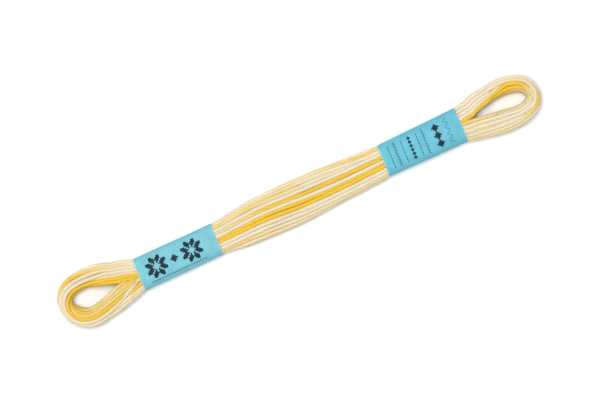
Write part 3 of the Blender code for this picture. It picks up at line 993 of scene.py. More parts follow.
class Shading:
    """A new material's nodes, with short ways to add to them."""

    def __init__(self, name: str, values: Sockets) -> None:
        """Starts a material.

        Args:
            name: its name.
            values: what its shader's sockets hold all over the surface.
        """
        self.material = bpy.data.materials.new(name)
        self.material.use_nodes = True
        self.nodes = self.material.node_tree.nodes
        self.shader = self.nodes["Principled BSDF"]
        self.fill(self.shader, values)

    def fill(self, node: bpy.types.Node, values: Sockets) -> None:
        """Sets a node's sockets."""
        for socket, value in values.items():
            node.inputs[socket].default_value = value

    def join(self, source: bpy.types.NodeSocket, target: bpy.types.NodeSocket) -> None:
        """Leads one socket to another."""
        self.material.node_tree.links.new(source, target)

    def attribute(self, name: str) -> bpy.types.NodeSocket:
        """Reads an attribute of the mesh.

        Args:
            name: the attribute's name.

        Returns:
            Its value.
        """
        node = self.nodes.new("ShaderNodeAttribute")
        node.attribute_name = name
        return node.outputs["Fac"]

    def layout(self, name: str, scale: tuple[float, ...] = ()) -> bpy.types.NodeSocket:
        """Reads a UV map.

        Args:
            name: the map's name.
            scale: what it is multiplied by, if anything.

        Returns:
            The coordinates.
        """
        node = self.nodes.new("ShaderNodeUVMap")
        node.uv_map = name
        if not scale:
            return node.outputs["UV"]
        scaled = self.nodes.new("ShaderNodeMapping")
        self.fill(scaled, {"Scale": scale})
        self.join(node.outputs["UV"], scaled.inputs["Vector"])
        return scaled.outputs["Vector"]

    def noise(self, place: bpy.types.NodeSocket, scale: float, detail: float) -> bpy.types.NodeSocket:
        """Makes soft noise.

        Args:
            place: the coordinates that it reads.
            scale: how fine it is.
            detail: how many finer layers it has.

        Returns:
            Its value, from 0 to 1.
        """
        node = self.nodes.new("ShaderNodeTexNoise")
        self.fill(node, {"Scale": scale, "Detail": detail})
        self.join(place, node.inputs["Vector"])
        return node.outputs["Fac"]

    def ramp(self, share: bpy.types.NodeSocket, *stops: tuple[float, Colour]) -> bpy.types.NodeSocket:
        """Turns a value into a colour.

        Args:
            share: the value.
            stops: places from 0 to 1 with the colour at each, in order.

        Returns:
            The colour.
        """
        node = self.nodes.new("ShaderNodeValToRGB")
        elements = node.color_ramp.elements
        for element, (place, colour) in ((elements[0], stops[0]), (elements[1], stops[-1])):
            element.position, element.color = place, (*colour, 1.0)
        for place, colour in stops[1:-1]:
            elements.new(place).color = (*colour, 1.0)
        self.join(share, node.inputs["Fac"])
        return node.outputs["Color"]

    def blend(
        self,
        kind: Blend,
        share: bpy.types.NodeSocket | float,
        under: bpy.types.NodeSocket,
        over: bpy.types.NodeSocket | Colour,
    ) -> bpy.types.NodeSocket:
        """Lays one colour over another.

        Args:
            kind: how it is laid.
            share: how much of it, from 0 to 1.
            under: the colour below.
            over: the colour laid over it.

        Returns:
            The colour.
        """
        node = self.nodes.new("ShaderNodeMix")
        node.data_type, node.blend_type = "RGBA", kind.value
        self.join(under, node.inputs["A"])
        if isinstance(share, float):
            self.fill(node, {"Factor": share})
        else:
            self.join(share, node.inputs["Factor"])
        if isinstance(over, tuple):
            self.fill(node, {"B": (*over, 1.0)})
        else:
            self.join(over, node.inputs["B"])
        return node.outputs["Result"]

    def finished(
        self, colour: bpy.types.NodeSocket, raised: bpy.types.NodeSocket, strength: float, distance: float
    ) -> bpy.types.Material:
        """Gives the shader its colour and its fine relief.

        Args:
            colour: the colour.
            raised: the relief's height, from 0 to 1.
            strength: how strong the relief is.
            distance: its height in metres.

        Returns:
            The material.
        """
        bump = self.nodes.new("ShaderNodeBump")
        self.fill(bump, {"Strength": strength, "Distance": distance})
        self.join(raised, bump.inputs["Height"])
        self.join(bump.outputs["Normal"], self.shader.inputs["Normal"])
        self.join(colour, self.shader.inputs["Base Color"])
        return self.material


# ---------------------------------------------------------------------------------------------------------------
# The thread, its dye and its painted shade


@dataclass(frozen=True)
class CottonFinish:
    """Mercerised cotton: pale cream through yellow to golden, with fibres along the thread and painted shade between
    fibres and strands.
    """

    cream: Colour = (0.94, 0.89, 0.75)
    pale_yellow: Colour = (0.93, 0.79, 0.42)
    golden: Colour = (0.98, 0.65, 0.03)
    # painted shade: the colour laid over the grooves between the thread's strands
    strand_groove_shade: Colour = (0.80, 0.63, 0.40)
    # painted shade between the fibres; lit_fibres leaves their backs as they are
    fibre_gap_shade: Colour = (0.86, 0.80, 0.72)
    lit_fibres: Colour = (1.0, 1.0, 1.0)
    dye_stops: tuple[float, float, float] = (0.0, 0.42, 0.95)
    fibre_stops: tuple[float, float] = (0.3, 0.6)
    fibre_shade: float = 0.6
    fibre_scale: tuple[float, float, float] = (0.9, 26.0, 1.0)
    fibre_detail: float = 3.0
    roughness: float = 0.6
    sheen: float = 0.35
    sheen_roughness: float = 0.4
    sheen_tint: Colour = (1.0, 0.95, 0.85)
    glow: float = 0.45
    glow_radius: tuple[float, float, float] = (1.0, 0.7, 0.4)
    glow_depth: float = 0.0012
    bump: float = 0.35
    bump_height: float = 0.00008

    def make(self) -> bpy.types.Material:
        """Builds the material, which reads the thread's own coordinates, its dye with the painted warm shade inside the
        eyes, and the painted shade in its grooves.

        Returns:
            The material.
        """
        cotton = Shading("variegated_cotton", {
            "Roughness": self.roughness,
            "Sheen Weight": self.sheen,
            "Sheen Roughness": self.sheen_roughness,
            "Sheen Tint": (*self.sheen_tint, 1.0),
            "Subsurface Weight": self.glow,
            "Subsurface Radius": self.glow_radius,
            "Subsurface Scale": self.glow_depth,
        })
        # the dye attribute also holds the painted warm shade inside the eyes
        dyed = cotton.ramp(cotton.attribute("dye"), *zip(self.dye_stops, (self.cream, self.pale_yellow, self.golden)))
        # painted shade: the colour darkens where the fibres' relief is low
        fibres = cotton.noise(cotton.layout("Thread", self.fibre_scale), 1.0, self.fibre_detail)
        shade = cotton.ramp(fibres, *zip(self.fibre_stops, (self.fibre_gap_shade, self.lit_fibres)))
        colour = cotton.blend(Blend.STAIN, self.fibre_shade, dyed, shade)
        # painted shade: darkens and warms the grooves between the strands
        colour = cotton.blend(Blend.STAIN, cotton.attribute("hollow"), colour, self.strand_groove_shade)
        return cotton.finished(colour, fibres, self.bump, self.bump_height)


@dataclass(frozen=True)
class DyeAndWarmShade:
    """How unevenly the thread took its dye, from 0 for cream to 1 for golden, with painted warm shade on the turns deep
    inside the eyes.

    Attributes:
        seed: the unevenness's own.
        waves: how many waves it has, from shortest to longest, in stations.
        mean: the dye of a turn with no track, give or take swing for each wave, up to most.
        warm_shade_left: how golden the turns inside the left eye are made, painted warm shade where the eye's walls
            shelter them; warm_shade_right is for the right one.
        eye_from: how far along X an eye's turns begin, fully so eye_ease farther out.
        inward_ease: how far inward of the bundle's middle a turn is fully inside the eye, as a share.
        deep_from: how far above the bundle's middle, as a share of its half height, the painted warm shade inside
            begins.
        deep_ease: how far below that it is full, in millimetres.
        uneven: how much of the unevenness a track has, unless its own dye is above full.
    """

    seed: int = 5
    waves: int = 9
    shortest: float = 14.0
    longest: float = 80.0
    mean: float = 0.12
    swing: float = 0.07
    most: float = 0.4
    warm_shade_left: float = 0.8
    warm_shade_right: float = 0.5
    eye_from: float = 56.0
    eye_ease: float = 5.0
    inward_ease: float = 0.35
    deep_from: float = 0.55
    deep_ease: float = 0.8
    uneven: float = 0.35
    full: float = 0.9

    def dyed(self, winding: Winding, turn: np.ndarray) -> np.ndarray:
        """Reads how golden the thread is.

        Args:
            winding: the wound thread.
            turn: places along it, in turns.

        Returns:
            The dye at each place, with the painted warm shade inside the eyes.
        """
        room, at = winding.room, winding.room.at
        chain = np.arange(winding.turns * room.stations, dtype=float)
        source = np.random.default_rng(self.seed)
        base = np.zeros_like(chain)
        for _ in range(self.waves):
            base += np.sin(2 * math.pi * (chain / source.uniform(self.shortest, self.longest) + source.uniform()))
        base = np.clip(self.mean + self.swing * base, 0.0, self.most).reshape(winding.turns, -1)
        # painted warm shade: turns that lie low and inward in an eye are made golden
        depth = at["centre_v"] + self.deep_from * at["half_v"] - winding.places[..., 1]
        inward = -winding.places[..., 0] / at["half_u"]
        in_eye = ease((abs(at["x"]) - self.eye_from) / self.eye_ease)
        inside = np.where(at["x"] < 0, self.warm_shade_left, self.warm_shade_right)
        inside = inside * in_eye * ease(inward / self.inward_ease) * ease(depth / self.deep_ease)
        base = np.maximum(base, inside)
        tracked = winding.dyed + self.uneven * (base - self.mean) * (winding.dyed < self.full)
        base = np.where(winding.dyed >= 0, np.clip(tracked, 0.0, 1.0), base).ravel()
        return np.interp(turn * room.stations, chain, evened(base, Ends.LEVEL))


@dataclass
class Floss:
    """The wound thread: six strands twisted together, swept along the winding's line.

    Attributes:
        winding: the thread's line.
        finish: the cotton.
        dye_and_shade: its dye, and the painted warm shade inside the eyes.
        crest: the thread's radius on a strand's back; valley is the one between two strands.
        strands: how many there are, each with points_per_strand points; roundness shapes their backs.
        lay: how far along the strands go once round.
        step: from one section of the mesh to the next.
        swelling: how the thread's thickness wavers, as a share; twisting is for its twist, in turns.
        waver_waves: how many waves each of these has, which waver_phase sets apart and waver_evened divides.
        turns_per_piece: how many turns one piece has.
        bake_rows: how many strips its texture layout has, with bake_margin beside and between them.
    """

    winding: Winding
    finish: CottonFinish = CottonFinish()
    dye_and_shade: DyeAndWarmShade = DyeAndWarmShade()
    crest: float = 0.63
    valley: float = 0.48
    strands: int = 6
    points_per_strand: int = 4
    roundness: float = 0.8
    lay: float = 5.5
    step: float = 0.5
    swelling: Wander = Wander(0.055, 6.0, 30.0)
    twisting: Wander = Wander(0.12, 12.0, 50.0)
    waver_waves: int = 5
    waver_phase: float = 2.4
    waver_evened: float = 2.2
    turns_per_piece: int = 5
    bake_rows: int = 20
    bake_margin: tuple[float, float] = (0.002, 0.03)

    def profile(self) -> bpy.types.Object:
        """Draws the thread's cross-section, one lobe for each strand.

        Returns:
            The closed curve.
        """
        count = self.strands * self.points_per_strand
        curve = bpy.data.curves.new("thread_section", "CURVE")
        curve.dimensions = "2D"
        ring = curve.splines.new("POLY")
        ring.points.add(count - 1)
        for k in range(count):
            angle = 2 * math.pi * k / count
            radius = mix(self.valley, self.crest, self.lobe(k)) * MM
            ring.points[k].co = (radius * math.cos(angle), radius * math.sin(angle), 0.0, 1.0)
        ring.use_cyclic_u = True
        return link(bpy.data.objects.new("thread_section", curve))

    def lobe(self, k: int) -> float:
        """How far the section's point k stands out: 1 on a strand's back and 0 between two strands."""
        return abs(math.cos(math.pi * k / self.points_per_strand)) ** self.roundness

    def fine_line(self) -> tuple[np.ndarray, np.ndarray, np.ndarray]:
        """Reads the winding's line at even short steps.

        Returns:
            Its points in millimetres, how slack the thread is at each, and its place along the thread in turns.
        """
        points, slack = self.winding.line()
        reached = way_along(points)
        at = np.linspace(0.0, reached[-1], round(reached[-1] / self.step) + 1)
        read = smooth_rows(np.column_stack([points, slack, np.arange(len(points))]), reached, at)
        return read[:, :3], read[:, 3], read[:, 4] / self.winding.room.stations

    def make(self) -> list[bpy.types.Object]:
        """Sweeps the thread.

        Returns:
            Its pieces, in order.
        """
        section = self.profile()
        cotton = self.finish.make()
        points, slack, turn = self.fine_line()
        dye = self.dye_and_shade.dyed(self.winding, turn)
        pieces = []
        total = math.ceil(self.winding.turns / self.turns_per_piece)
        for number in range(total):
            low, high = number * self.turns_per_piece, (number + 1) * self.turns_per_piece
            chosen = np.flatnonzero((turn >= low - SLIGHT) & (turn < high + SLIGHT))
            if number + 1 < total:
                chosen = np.append(chosen, chosen[-1] + 1)
            name = f"floss_turns_{low + 1}_to_{min(high, self.winding.turns)}"
            pieces.append(self.sweep(name, section, chosen, points, slack, dye, cotton))
        bpy.data.objects.remove(section, do_unlink=True)
        return pieces

    def waver(self, chosen: np.ndarray, wander: Wander) -> np.ndarray:
        """A fixed small unevenness along the thread.

        Args:
            chosen: which points of the line to read.
            wander: how large and how slow it is.

        Returns:
            The unevenness at each point.
        """
        lengths = np.geomspace(wander.shortest, wander.longest, self.waver_waves)
        turns = (2 * math.pi * chosen * self.step / length + self.waver_phase * length for length in lengths)
        return wander.size * sum(np.sin(turn) for turn in turns) / self.waver_evened

    def sweep(
        self,
        name: str,
        section: bpy.types.Object,
        chosen: np.ndarray,
        points: np.ndarray,
        slack: np.ndarray,
        dye: np.ndarray,
        cotton: bpy.types.Material,
    ) -> bpy.types.Object:
        """Sweeps the section along part of the line and dresses the mesh.

        Args:
            name: the piece's name.
            section: the thread's cross-section.
            chosen: which points of the line this piece has.
            points: the whole line, in millimetres.
            slack: how slack the thread is at each point.
            dye: how golden the thread is at each point.
            cotton: the finish.

        Returns:
            The piece.
        """
        curve = bpy.data.curves.new(name, "CURVE")
        curve.dimensions, curve.twist_mode = "3D", "Z_UP"
        curve.bevel_mode, curve.bevel_object = "OBJECT", section
        path = curve.splines.new("POLY")
        path.points.add(len(chosen) - 1)
        place = np.column_stack([points[chosen] * MM, np.ones(len(chosen))])
        path.points.foreach_set("co", place.ravel())
        path.points.foreach_set("radius", slack[chosen] * (1 + self.waver(chosen, self.swelling)))
        tilt = chosen * self.step / self.lay + self.waver(chosen, self.twisting)
        path.points.foreach_set("tilt", 2 * math.pi * tilt)
        holder = link(bpy.data.objects.new(name + "_line", curve))
        mesh = bpy.data.meshes.new_from_object(holder.evaluated_get(bpy.context.evaluated_depsgraph_get()))
        bpy.data.objects.remove(holder, do_unlink=True)
        mesh.name = name
        self.lay_out(mesh, chosen)
        around = self.strands * self.points_per_strand
        # painted shade in the grooves between the strands: 1 in a groove and 0 on a strand's back
        hollow = np.tile([1.0 - self.lobe(k) for k in range(around)], len(chosen))
        for attribute, values in (("dye", np.repeat(dye[chosen], around)), ("hollow", hollow)):
            mesh.attributes.new(attribute, "FLOAT", "POINT").data.foreach_set("value", values)
        self.close_ends(mesh)
        mesh.shade_smooth()
        mesh.materials.clear()
        mesh.materials.append(cotton)
        return link(bpy.data.objects.new(name, mesh))

    def lay_out(self, mesh: bpy.types.Mesh, chosen: np.ndarray) -> None:
        """Gives the mesh its thread coordinates, and strips side by side for a bake.

        Args:
            mesh: the piece's mesh.
            chosen: which points of the line it has.
        """
        around = self.strands * self.points_per_strand
        corners = np.empty(len(mesh.loops), np.int64)
        mesh.loops.foreach_get("vertex_index", corners)
        ring, turn = corners // around, corners % around
        first = ring.reshape(-1, 4).min(axis=1).repeat(4)
        spot = turn.reshape(-1, 4)
        wraps = (spot.max(axis=1) - spot.min(axis=1) > 1).repeat(4)
        spoke = (np.where(wraps & (turn == 0), around, turn)) / around
        while mesh.uv_layers:
            mesh.uv_layers.remove(mesh.uv_layers[0])
        along = chosen[ring] * self.step
        own = mesh.uv_layers.new(name="Thread")
        own.data.foreach_set("uv", np.column_stack([along, spoke + along / self.lay]).ravel())
        per_row = math.ceil((len(chosen) - 1) / self.bake_rows)
        row = first // per_row
        beside, between = self.bake_margin
        u = beside + (1 - 2 * beside) * ((ring - row * per_row) / per_row)
        v = (row + between + (1 - 2 * between) * spoke) / self.bake_rows
        strips = mesh.uv_layers.new(name="OFBake")
        strips.data.foreach_set("uv", np.column_stack([u, v]).ravel())

    def close_ends(self, mesh: bpy.types.Mesh) -> None:
        """Closes the thread's two cut ends.

        Args:
            mesh: the piece's mesh.
        """
        bm = bmesh.new()
        bm.from_mesh(mesh)
        bmesh.ops.holes_fill(bm, edges=[edge for edge in bm.edges if edge.is_boundary], sides=0)
        bmesh.ops.recalc_face_normals(bm, faces=bm.faces)
        bm.to_mesh(mesh)
        bm.free()


# ---------------------------------------------------------------------------------------------------------------
# The paper bands


class Motif(Enum):
    """Common cross-stitch motifs, charted as cells."""

    STAR = (
        "...##...##...",
        "...###.###...",
        "...#######...",
        "###.##.##.###",
        "####.#.#.####",
        ".####...####.",
        "..##.....##..",
        ".####...####.",
        "####.#.#.####",
        "###.##.##.###",
        "...#######...",
        "...###.###...",
        "...##...##...",
    )
    DIAMOND = (
        "..#..",
        ".###.",
        "#####",
        ".###.",
        "..#..",
    )
    ZIGZAG = (
        "#...",
        ".#.#",
        "..#.",
    )
    DASH = ("##.",)


class Print(NamedTuple):
    """A run of one motif on the paper.

    along and around are the run's middle, in millimetres along the band and around it from the middle of its
    top; count motifs follow each other, across the band where across is set.
    """

    motif: Motif
    along: float
    around: float
    cell: float
    count: int = 1
    across: bool = False
    ink: float = 1.0


LEFT_PRINT = (
    Print(Motif.STAR, 6.0, 0.2, 0.5),
    Print(Motif.DIAMOND, 11.75, 0.2, 0.5),
    Print(Motif.STAR, 17.5, 0.2, 0.5),
    Print(Motif.ZIGZAG, 11.75, -4.0, 0.25, 18),
)
RIGHT_PRINT = (
    Print(Motif.DASH, 2.75, 0.0, 0.25, 10, True),
    Print(Motif.ZIGZAG, 4.75, 0.0, 0.25, 8, True),
    Print(Motif.DASH, 7.0, 0.0, 0.25, 10, True),
    Print(Motif.DIAMOND, 9.5, 0.0, 0.25, 6, True),
    Print(Motif.DASH, 12.0, 0.0, 0.25, 10, True),
    Print(Motif.ZIGZAG, 14.0, 0.0, 0.25, 8, True),
    Print(Motif.DIAMOND, 18.0, 0.0, 0.5, 3, True),
    Print(Motif.ZIGZAG, 21.5, 0.0, 0.5, 4, True, 0.45),
)


@dataclass(frozen=True)
class PaperFinish:
    """Coated paper, printed all over, with a slight fibre in it and paler edges.

    cloud and fibre are the scale and the detail of its two noises; tones are what the first makes of its colour.
    """

    name: str
    colour: Colour
    worn: Colour = (0.62, 0.85, 0.90)
    ink: Colour = (0.012, 0.03, 0.05)
    tones: tuple[float, float] = (0.90, 1.08)
    tone_stops: tuple[float, float] = (0.3, 0.7)
    cloud: tuple[float, float] = (0.35, 4.0)
    fibre: tuple[float, float] = (6.0, 5.0)
    roughness: float = 0.55
    gloss: float = 0.1
    bump: float = 0.12
    bump_height: float = 0.00004

    def make(self) -> bpy.types.Material:
        """Builds the material, which reads the flat sheet's coordinates, its ink and its wear.

        Returns:
            The material.
        """
        paper = Shading(self.name, {"Roughness": self.roughness, "Specular IOR Level": self.gloss})
        sheet = paper.layout("Sheet")
        clouds, fibres = paper.noise(sheet, *self.cloud), paper.noise(sheet, *self.fibre)
        tones = [tuple(min(share * c, 1.0) for c in self.colour) for share in self.tones]
        colour = paper.ramp(clouds, *zip(self.tone_stops, tones))
        colour = paper.blend(Blend.COVER, paper.attribute("wear"), colour, self.worn)
        colour = paper.blend(Blend.COVER, paper.attribute("ink"), colour, self.ink)
        return paper.finished(colour, fibres, self.bump, self.bump_height)


LEFT_PAPER = PaperFinish("left_band_paper", (0.20, 0.54, 0.63))
RIGHT_PAPER = PaperFinish("right_band_paper", (0.145, 0.50, 0.62))


class Section(NamedTuple):
    """A band's section: its points (across, up) and how far along the paper each one is, in millimetres."""

    points: np.ndarray
    reached: np.ndarray

    def at(self, place: float) -> tuple[float, float]:
        """The point at a place along the paper."""
        across, up = (float(np.interp(place, self.reached, column)) for column in self.points.T)
        return across, up


class Wave(NamedTuple):
    """A wave in the paper, by its speed along the band and around it, and where it begins."""

    along: float
    around: float
    start: float


@dataclass
class PaperBand:
    """A strip of printed paper wrapped round the turns, its end glued over its start under the skein.

    Attributes:
        name: the piece's name.
        node: the node that it replaces.
        slot: that node's slot; not used.
        ends: the band's two ends.
        prints: what is printed on it.
        finish: the paper.
        overlap: how much of the sheet's end lies over its start.
        thickness: the paper's own.
        outer_depth: how far inside the band's outer size the sheet lies; tucked is for its start, below the overlap.
        lap_gap: how far past the overlap the sheet begins to rise, fully so lap_ease farther on.
        buckle: how far in the paper's waves go, fully so above buckle_above.
        cell: how long the sheet's faces are.
        askew: how far along the sheet's two ends are out of line.
        start_angle: where the sheet starts, in turns.
        look: how far back and ahead the paper's direction is measured.
        section_points: how many points a section has.
        worn: how pale the sheet's edges are, up to worn_edge from them.
        wave_count: how many waves the paper has, wave_evened being what divides their sum.
        wave_speeds: their least and greatest speed; wave_starts is the same for where they begin.
        bake_margin: the bare edge of its texture layout, which is bake_width wide.
        seed: the waves' own.
    """

    name: str
    node: str
    slot: str
    ends: tuple[BandRow, BandRow]
    prints: tuple[Print, ...]
    finish: PaperFinish
    overlap: float = 5.0
    thickness: float = 0.13
    outer_depth: float = 0.02
    tucked: float = 0.22
    lap_gap: float = 0.5
    lap_ease: float = 3.0
    buckle: float = 0.035
    buckle_above: float = 1.5
    cell: float = 0.25
    askew: float = 0.35
    start_angle: float = -0.12
    look: float = 0.1
    section_points: int = 1441
    worn: float = 0.55
    worn_edge: float = 0.3
    wave_count: int = 5
    wave_evened: float = 3.0
    wave_speeds: tuple[float, float] = (0.15, 0.5)
    wave_starts: tuple[float, float] = (0.0, 6.28)
    bake_margin: float = 0.01
    bake_width: float = 0.48
    seed: int = 3

    def __post_init__(self) -> None:
        """Works out the flat sheet and the paper's slight unevenness."""
        middle = BandRow(*((a + b) / 2 for a, b in zip(*self.ends)))
        section = self.round_section(middle.half_width, middle.height)
        self.girth = section.reached[-1]
        self.long = self.ends[1].x - self.ends[0].x
        self.length = round((self.girth + self.overlap) / self.cell) * self.cell
        self.flat = (self.long * MM, self.length * MM)
        self.top = round(self.top_place(section) / self.cell) * self.cell
        source = np.random.default_rng(self.seed)
        spans = (self.wave_speeds, self.wave_speeds, self.wave_starts)
        self.waves = [Wave(*(source.uniform(*span) for span in spans)) for _ in range(self.wave_count)]
        self.sections: dict[float, Section] = {}

    def round_section(self, half_width: float, height: float) -> Section:
        """The band's outer section, from its start under the +Y side, under the skein and back over its top.

        Args:
            half_width: half the band's width.
            height: its height.

        Returns:
            The section.
        """
        angles = 2 * math.pi * (self.start_angle - np.linspace(0.0, 1.0, self.section_points))
        half_height = (height + PRESSED_FLAT) / 2
        cos, sin = np.cos(angles), np.sin(angles)
        across = half_width * np.sign(cos) * np.abs(cos) ** (2 / BAND_ROUNDNESS)
        up = half_height * (1 + np.sign(sin) * np.abs(sin) ** (2 / BAND_ROUNDNESS)) - PRESSED_FLAT
        points = np.column_stack([across, np.maximum(up, 0.0)])
        return Section(points, way_along(points))

    def make(self) -> bpy.types.Object:
        """Cuts the flat sheet, prints it, wraps it and gives it its thickness.

        Returns:
            The band.
        """
        bm = bmesh.new()
        columns, lines = round(self.long / self.cell), round(self.length / self.cell)
        bmesh.ops.create_grid(bm, x_segments=columns, y_segments=lines, size=0.5)
        sheet, bake = (bm.loops.layers.uv.new(name) for name in ("Sheet", "OFBake"))
        ink, wear = bm.faces.layers.float.new("ink"), bm.verts.layers.float.new("wear")
        margin = self.bake_margin
        for vert in bm.verts:
            s, t = self.on_sheet(vert.co)
            edge = min(s, self.long - s, t, self.length - t)
            vert[wear] = self.worn * max(0.0, 1 - edge / self.worn_edge)
        for face in bm.faces:
            s, t = self.on_sheet(face.calc_center_median())
            face[ink] = self.ink_at(s, t - self.top)
            face.smooth = True
            for loop in face.loops:
                u, v = loop.vert.co.x + 0.5, loop.vert.co.y + 0.5
                loop[sheet].uv = (u * self.long, v * self.length)
                loop[bake].uv = (margin + self.bake_width * u, margin + (1 - 2 * margin) * v)
        for vert in bm.verts:
            vert.co = self.wrapped(*self.on_sheet(vert.co)) * MM
        bmesh.ops.recalc_face_normals(bm, faces=bm.faces)
        mesh = bpy.data.meshes.new(self.name)
        bm.to_mesh(mesh)
        bm.free()
        mesh.materials.append(self.finish.make())
        made = link(bpy.data.objects.new(self.name, mesh))
        wall = made.modifiers.new("paper", "SOLIDIFY")
        wall.thickness, wall.offset = self.thickness * MM, -1.0
        return made

    def on_sheet(self, place: Vector) -> tuple[float, float]:
        """A place in the unit square as millimetres along the band and around it."""
        return (place.x + 0.5) * self.long, (place.y + 0.5) * self.length

    def top_place(self, section: Section) -> float:
        """How far along the paper the middle of the band's top is."""
        on_top = np.flatnonzero(section.points[:, 1] > section.points[:, 1].max() / 2)
        return float(section.reached[on_top[np.argmin(abs(section.points[on_top, 0]))]])

    def section_at(self, s: float, row: BandRow) -> Section:
        """The band's section at a place along it, once round in the same length of paper everywhere.

        Args:
            s: the place along the band.
            row: the band's middle and size there.

        Returns:
            The section.
        """
        if s not in self.sections:
            points, reached = self.round_section(row.half_width, row.height)
            self.sections[s] = Section(points, reached * self.girth / reached[-1])
        return self.sections[s]

    def wrapped(self, s: float, t: float) -> Vector:
        """Where a place on the flat sheet comes to lie.

        Args:
            s: the place along the band, in millimetres.
            t: the place around it, from the sheet's start.

        Returns:
            The point, in millimetres.
        """
        row = BandRow(*(a + (b - a) * (s / self.long) for a, b in zip(*self.ends)))
        section = self.section_at(s, row)
        at = t % self.girth
        across, up = section.at(at)
        back, ahead = (section.at((at + shift) % self.girth) for shift in (-self.look, self.look))
        run = math.hypot(ahead[0] - back[0], ahead[1] - back[1]) or 1.0
        inward = (-(ahead[1] - back[1]) / run, (ahead[0] - back[0]) / run)
        if inward[0] * across + inward[1] * (up - row.height / 2) > 0:
            inward = (-inward[0], -inward[1])
        start = 1.0 - float(ease((t - self.overlap - self.lap_gap) / self.lap_ease))
        wave = sum(math.sin(wave.along * s + wave.around * t + wave.start) for wave in self.waves)
        depth = mix(self.outer_depth, self.tucked, start)
        depth += self.buckle * (1 + wave / self.wave_evened) * min(1.0, up / self.buckle_above)
        slide = self.askew * (t / self.length - 0.5)
        return Vector((row.x + slide, row.y + (across + depth * inward[0]), max(up + depth * inward[1], 0.0)))

    def ink_at(self, s: float, around: float) -> float:
        """Reads the print.

        Args:
            s: a place along the band, in millimetres.
            around: its place around it, from the middle of its top.

        Returns:
            How much ink it holds, from 0 to 1.
        """
        for item in self.prints:
            chart = item.motif.value
            run, rise = s - item.along, around - item.around
            if item.across:
                run, rise = rise, run
            rows, columns = len(chart), len(chart[0]) * item.count
            column, line = math.floor(run / item.cell + columns / 2), math.floor(rows / 2 - rise / item.cell)
            if 0 <= column < columns and 0 <= line < rows and chart[line][column % len(chart[0])] == "#":
                return item.ink
        return 0.0

    def place(self) -> bpy.types.Object:
        """Makes the band, hangs it from the root and hides the solid that it replaces.

        Returns:
            The band.
        """
        made = self.make()
        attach(made, "root")
        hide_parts(self.node)
        return made


# ---------------------------------------------------------------------------------------------------------------
# The studio


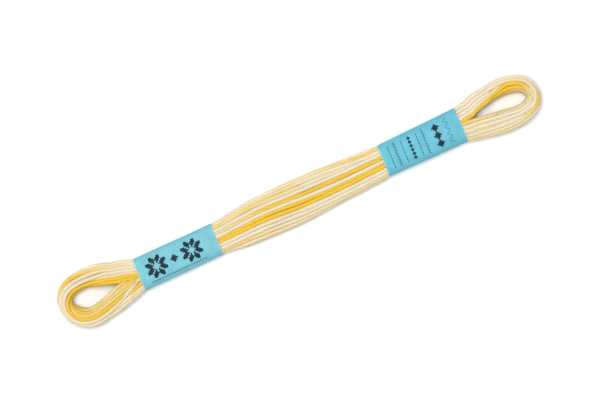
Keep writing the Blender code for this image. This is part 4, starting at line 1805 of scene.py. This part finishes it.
@dataclass
class Studio:
    """A pale floor, soft light from all round and a camera straight above.

    Attributes:
        axis_degrees: how far the skein is turned in the view.
        frame_width: how wide the view is, in millimetres, at the height of focus_height.
        height: how high the camera stands, in millimetres.
        sensor: its sensor's width; aim is the point that it looks at. Both are in millimetres.
        clip: the nearest and the farthest that it sees, in metres.
        floor_colour: the floor's paint; floor_roughness and floor_gloss are the paint's too.
        floor_size: half the floor's width; floor_drop is how far below the skein it lies. Both are in metres.
        sky: how bright the sky is.
        lamp_power: the lamp's power in watts; lamp_size and lamp_place are in metres.
    """

    axis_degrees: float = 23.5856
    frame_width: float = 180.2
    height: float = 1200.0
    focus_height: float = 4.0
    sensor: float = 36.0
    aim: tuple[float, float] = (-0.09, 0.33)
    clip: tuple[float, float] = (0.05, 20.0)
    floor_colour: Colour = (0.93, 0.935, 0.94)
    floor_roughness: float = 0.9
    floor_gloss: float = 0.1
    floor_size: float = 3.0
    floor_drop: float = 0.00005
    sky: float = 0.36
    lamp_power: float = 24.8
    lamp_size: tuple[float, float] = (0.8, 0.7)
    lamp_place: tuple[float, float, float] = (-0.12, 0.16, 1.7)

    def build(self) -> None:
        """Makes the floor, the lights and the camera."""
        self.floor()
        self.lights()
        self.camera()

    def floor(self) -> None:
        """Lays a plain pale floor, a little below the skein so that nothing on it flickers."""
        bm = bmesh.new()
        bmesh.ops.create_grid(bm, x_segments=1, y_segments=1, size=self.floor_size)
        bmesh.ops.translate(bm, verts=bm.verts, vec=(0.0, 0.0, -self.floor_drop))
        mesh = bpy.data.meshes.new("floor")
        bm.to_mesh(mesh)
        bm.free()
        paint = Shading("floor_paint", {
            "Base Color": (*self.floor_colour, 1.0),
            "Roughness": self.floor_roughness,
            "Specular IOR Level": self.floor_gloss,
        })
        mesh.materials.append(paint.material)
        made = link(bpy.data.objects.new("floor", mesh))
        made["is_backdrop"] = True

    def lights(self) -> None:
        """Makes a pale sky and one broad soft light."""
        world = bpy.data.worlds.new("studio")
        world.use_nodes = True
        sky = world.node_tree.nodes["Background"]
        sky.inputs["Color"].default_value = (1.0, 1.0, 1.0, 1.0)
        sky.inputs["Strength"].default_value = self.sky
        bpy.context.scene.world = world
        lamp = bpy.data.lights.new("soft_light", "AREA")
        lamp.shape, lamp.energy = "RECTANGLE", self.lamp_power
        lamp.size, lamp.size_y = self.lamp_size
        made = link(bpy.data.objects.new("soft_light", lamp))
        made.location = self.lamp_place
        made.rotation_euler = (-made.location).to_track_quat("-Z", "Y").to_euler()

    def camera(self) -> None:
        """Sets a long lens straight above, turned so that the skein rises to the right."""
        lens = bpy.data.cameras.new("camera")
        lens.sensor_width, lens.sensor_fit = self.sensor, "HORIZONTAL"
        lens.lens = self.sensor * (self.height - self.focus_height) / self.frame_width
        lens.clip_start, lens.clip_end = self.clip
        made = link(bpy.data.objects.new("camera", lens))
        turn = -math.radians(self.axis_degrees)
        aim = Matrix.Rotation(turn, 2) @ Vector(self.aim)
        made.location = (aim.x * MM, aim.y * MM, self.height * MM)
        made.rotation_euler = (0.0, 0.0, turn)
        bpy.context.scene.camera = made
        bpy.context.scene.view_settings.view_transform = "Standard"


def corners() -> list[list[float]]:
    """The shown object's box as plain lists."""
    return [[float(value) for value in corner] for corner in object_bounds()]


def main() -> None:
    """Builds the skein in its studio."""
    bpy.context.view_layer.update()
    Studio().build()
    room = Room()
    log.info("a turn is %.1f mm long, with %d stations", room.turn_length, room.stations)
    winding = Winding(room)
    log.info("wound %d turns, %.2f m", winding.turns, winding.turns * room.turn_length * MM)
    for piece in Floss(winding).make():
        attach(piece, "root")
        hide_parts("floss_hank")
        log.info("%s: %d faces", piece.name, len(piece.data.polygons))
    for band in (
        PaperBand("left_band", "paper_band_left", "left_band_paper", LEFT_BAND, LEFT_PRINT, LEFT_PAPER),
        PaperBand("right_band", "paper_band_right", "right_band_paper", RIGHT_BAND, RIGHT_PRINT, RIGHT_PAPER),
    ):
        made = band.place()
        log.info("%s: flat %.1f by %.1f mm", made.name, band.flat[0] / MM, band.flat[1] / MM)


if __name__ == "__main__":
    main()
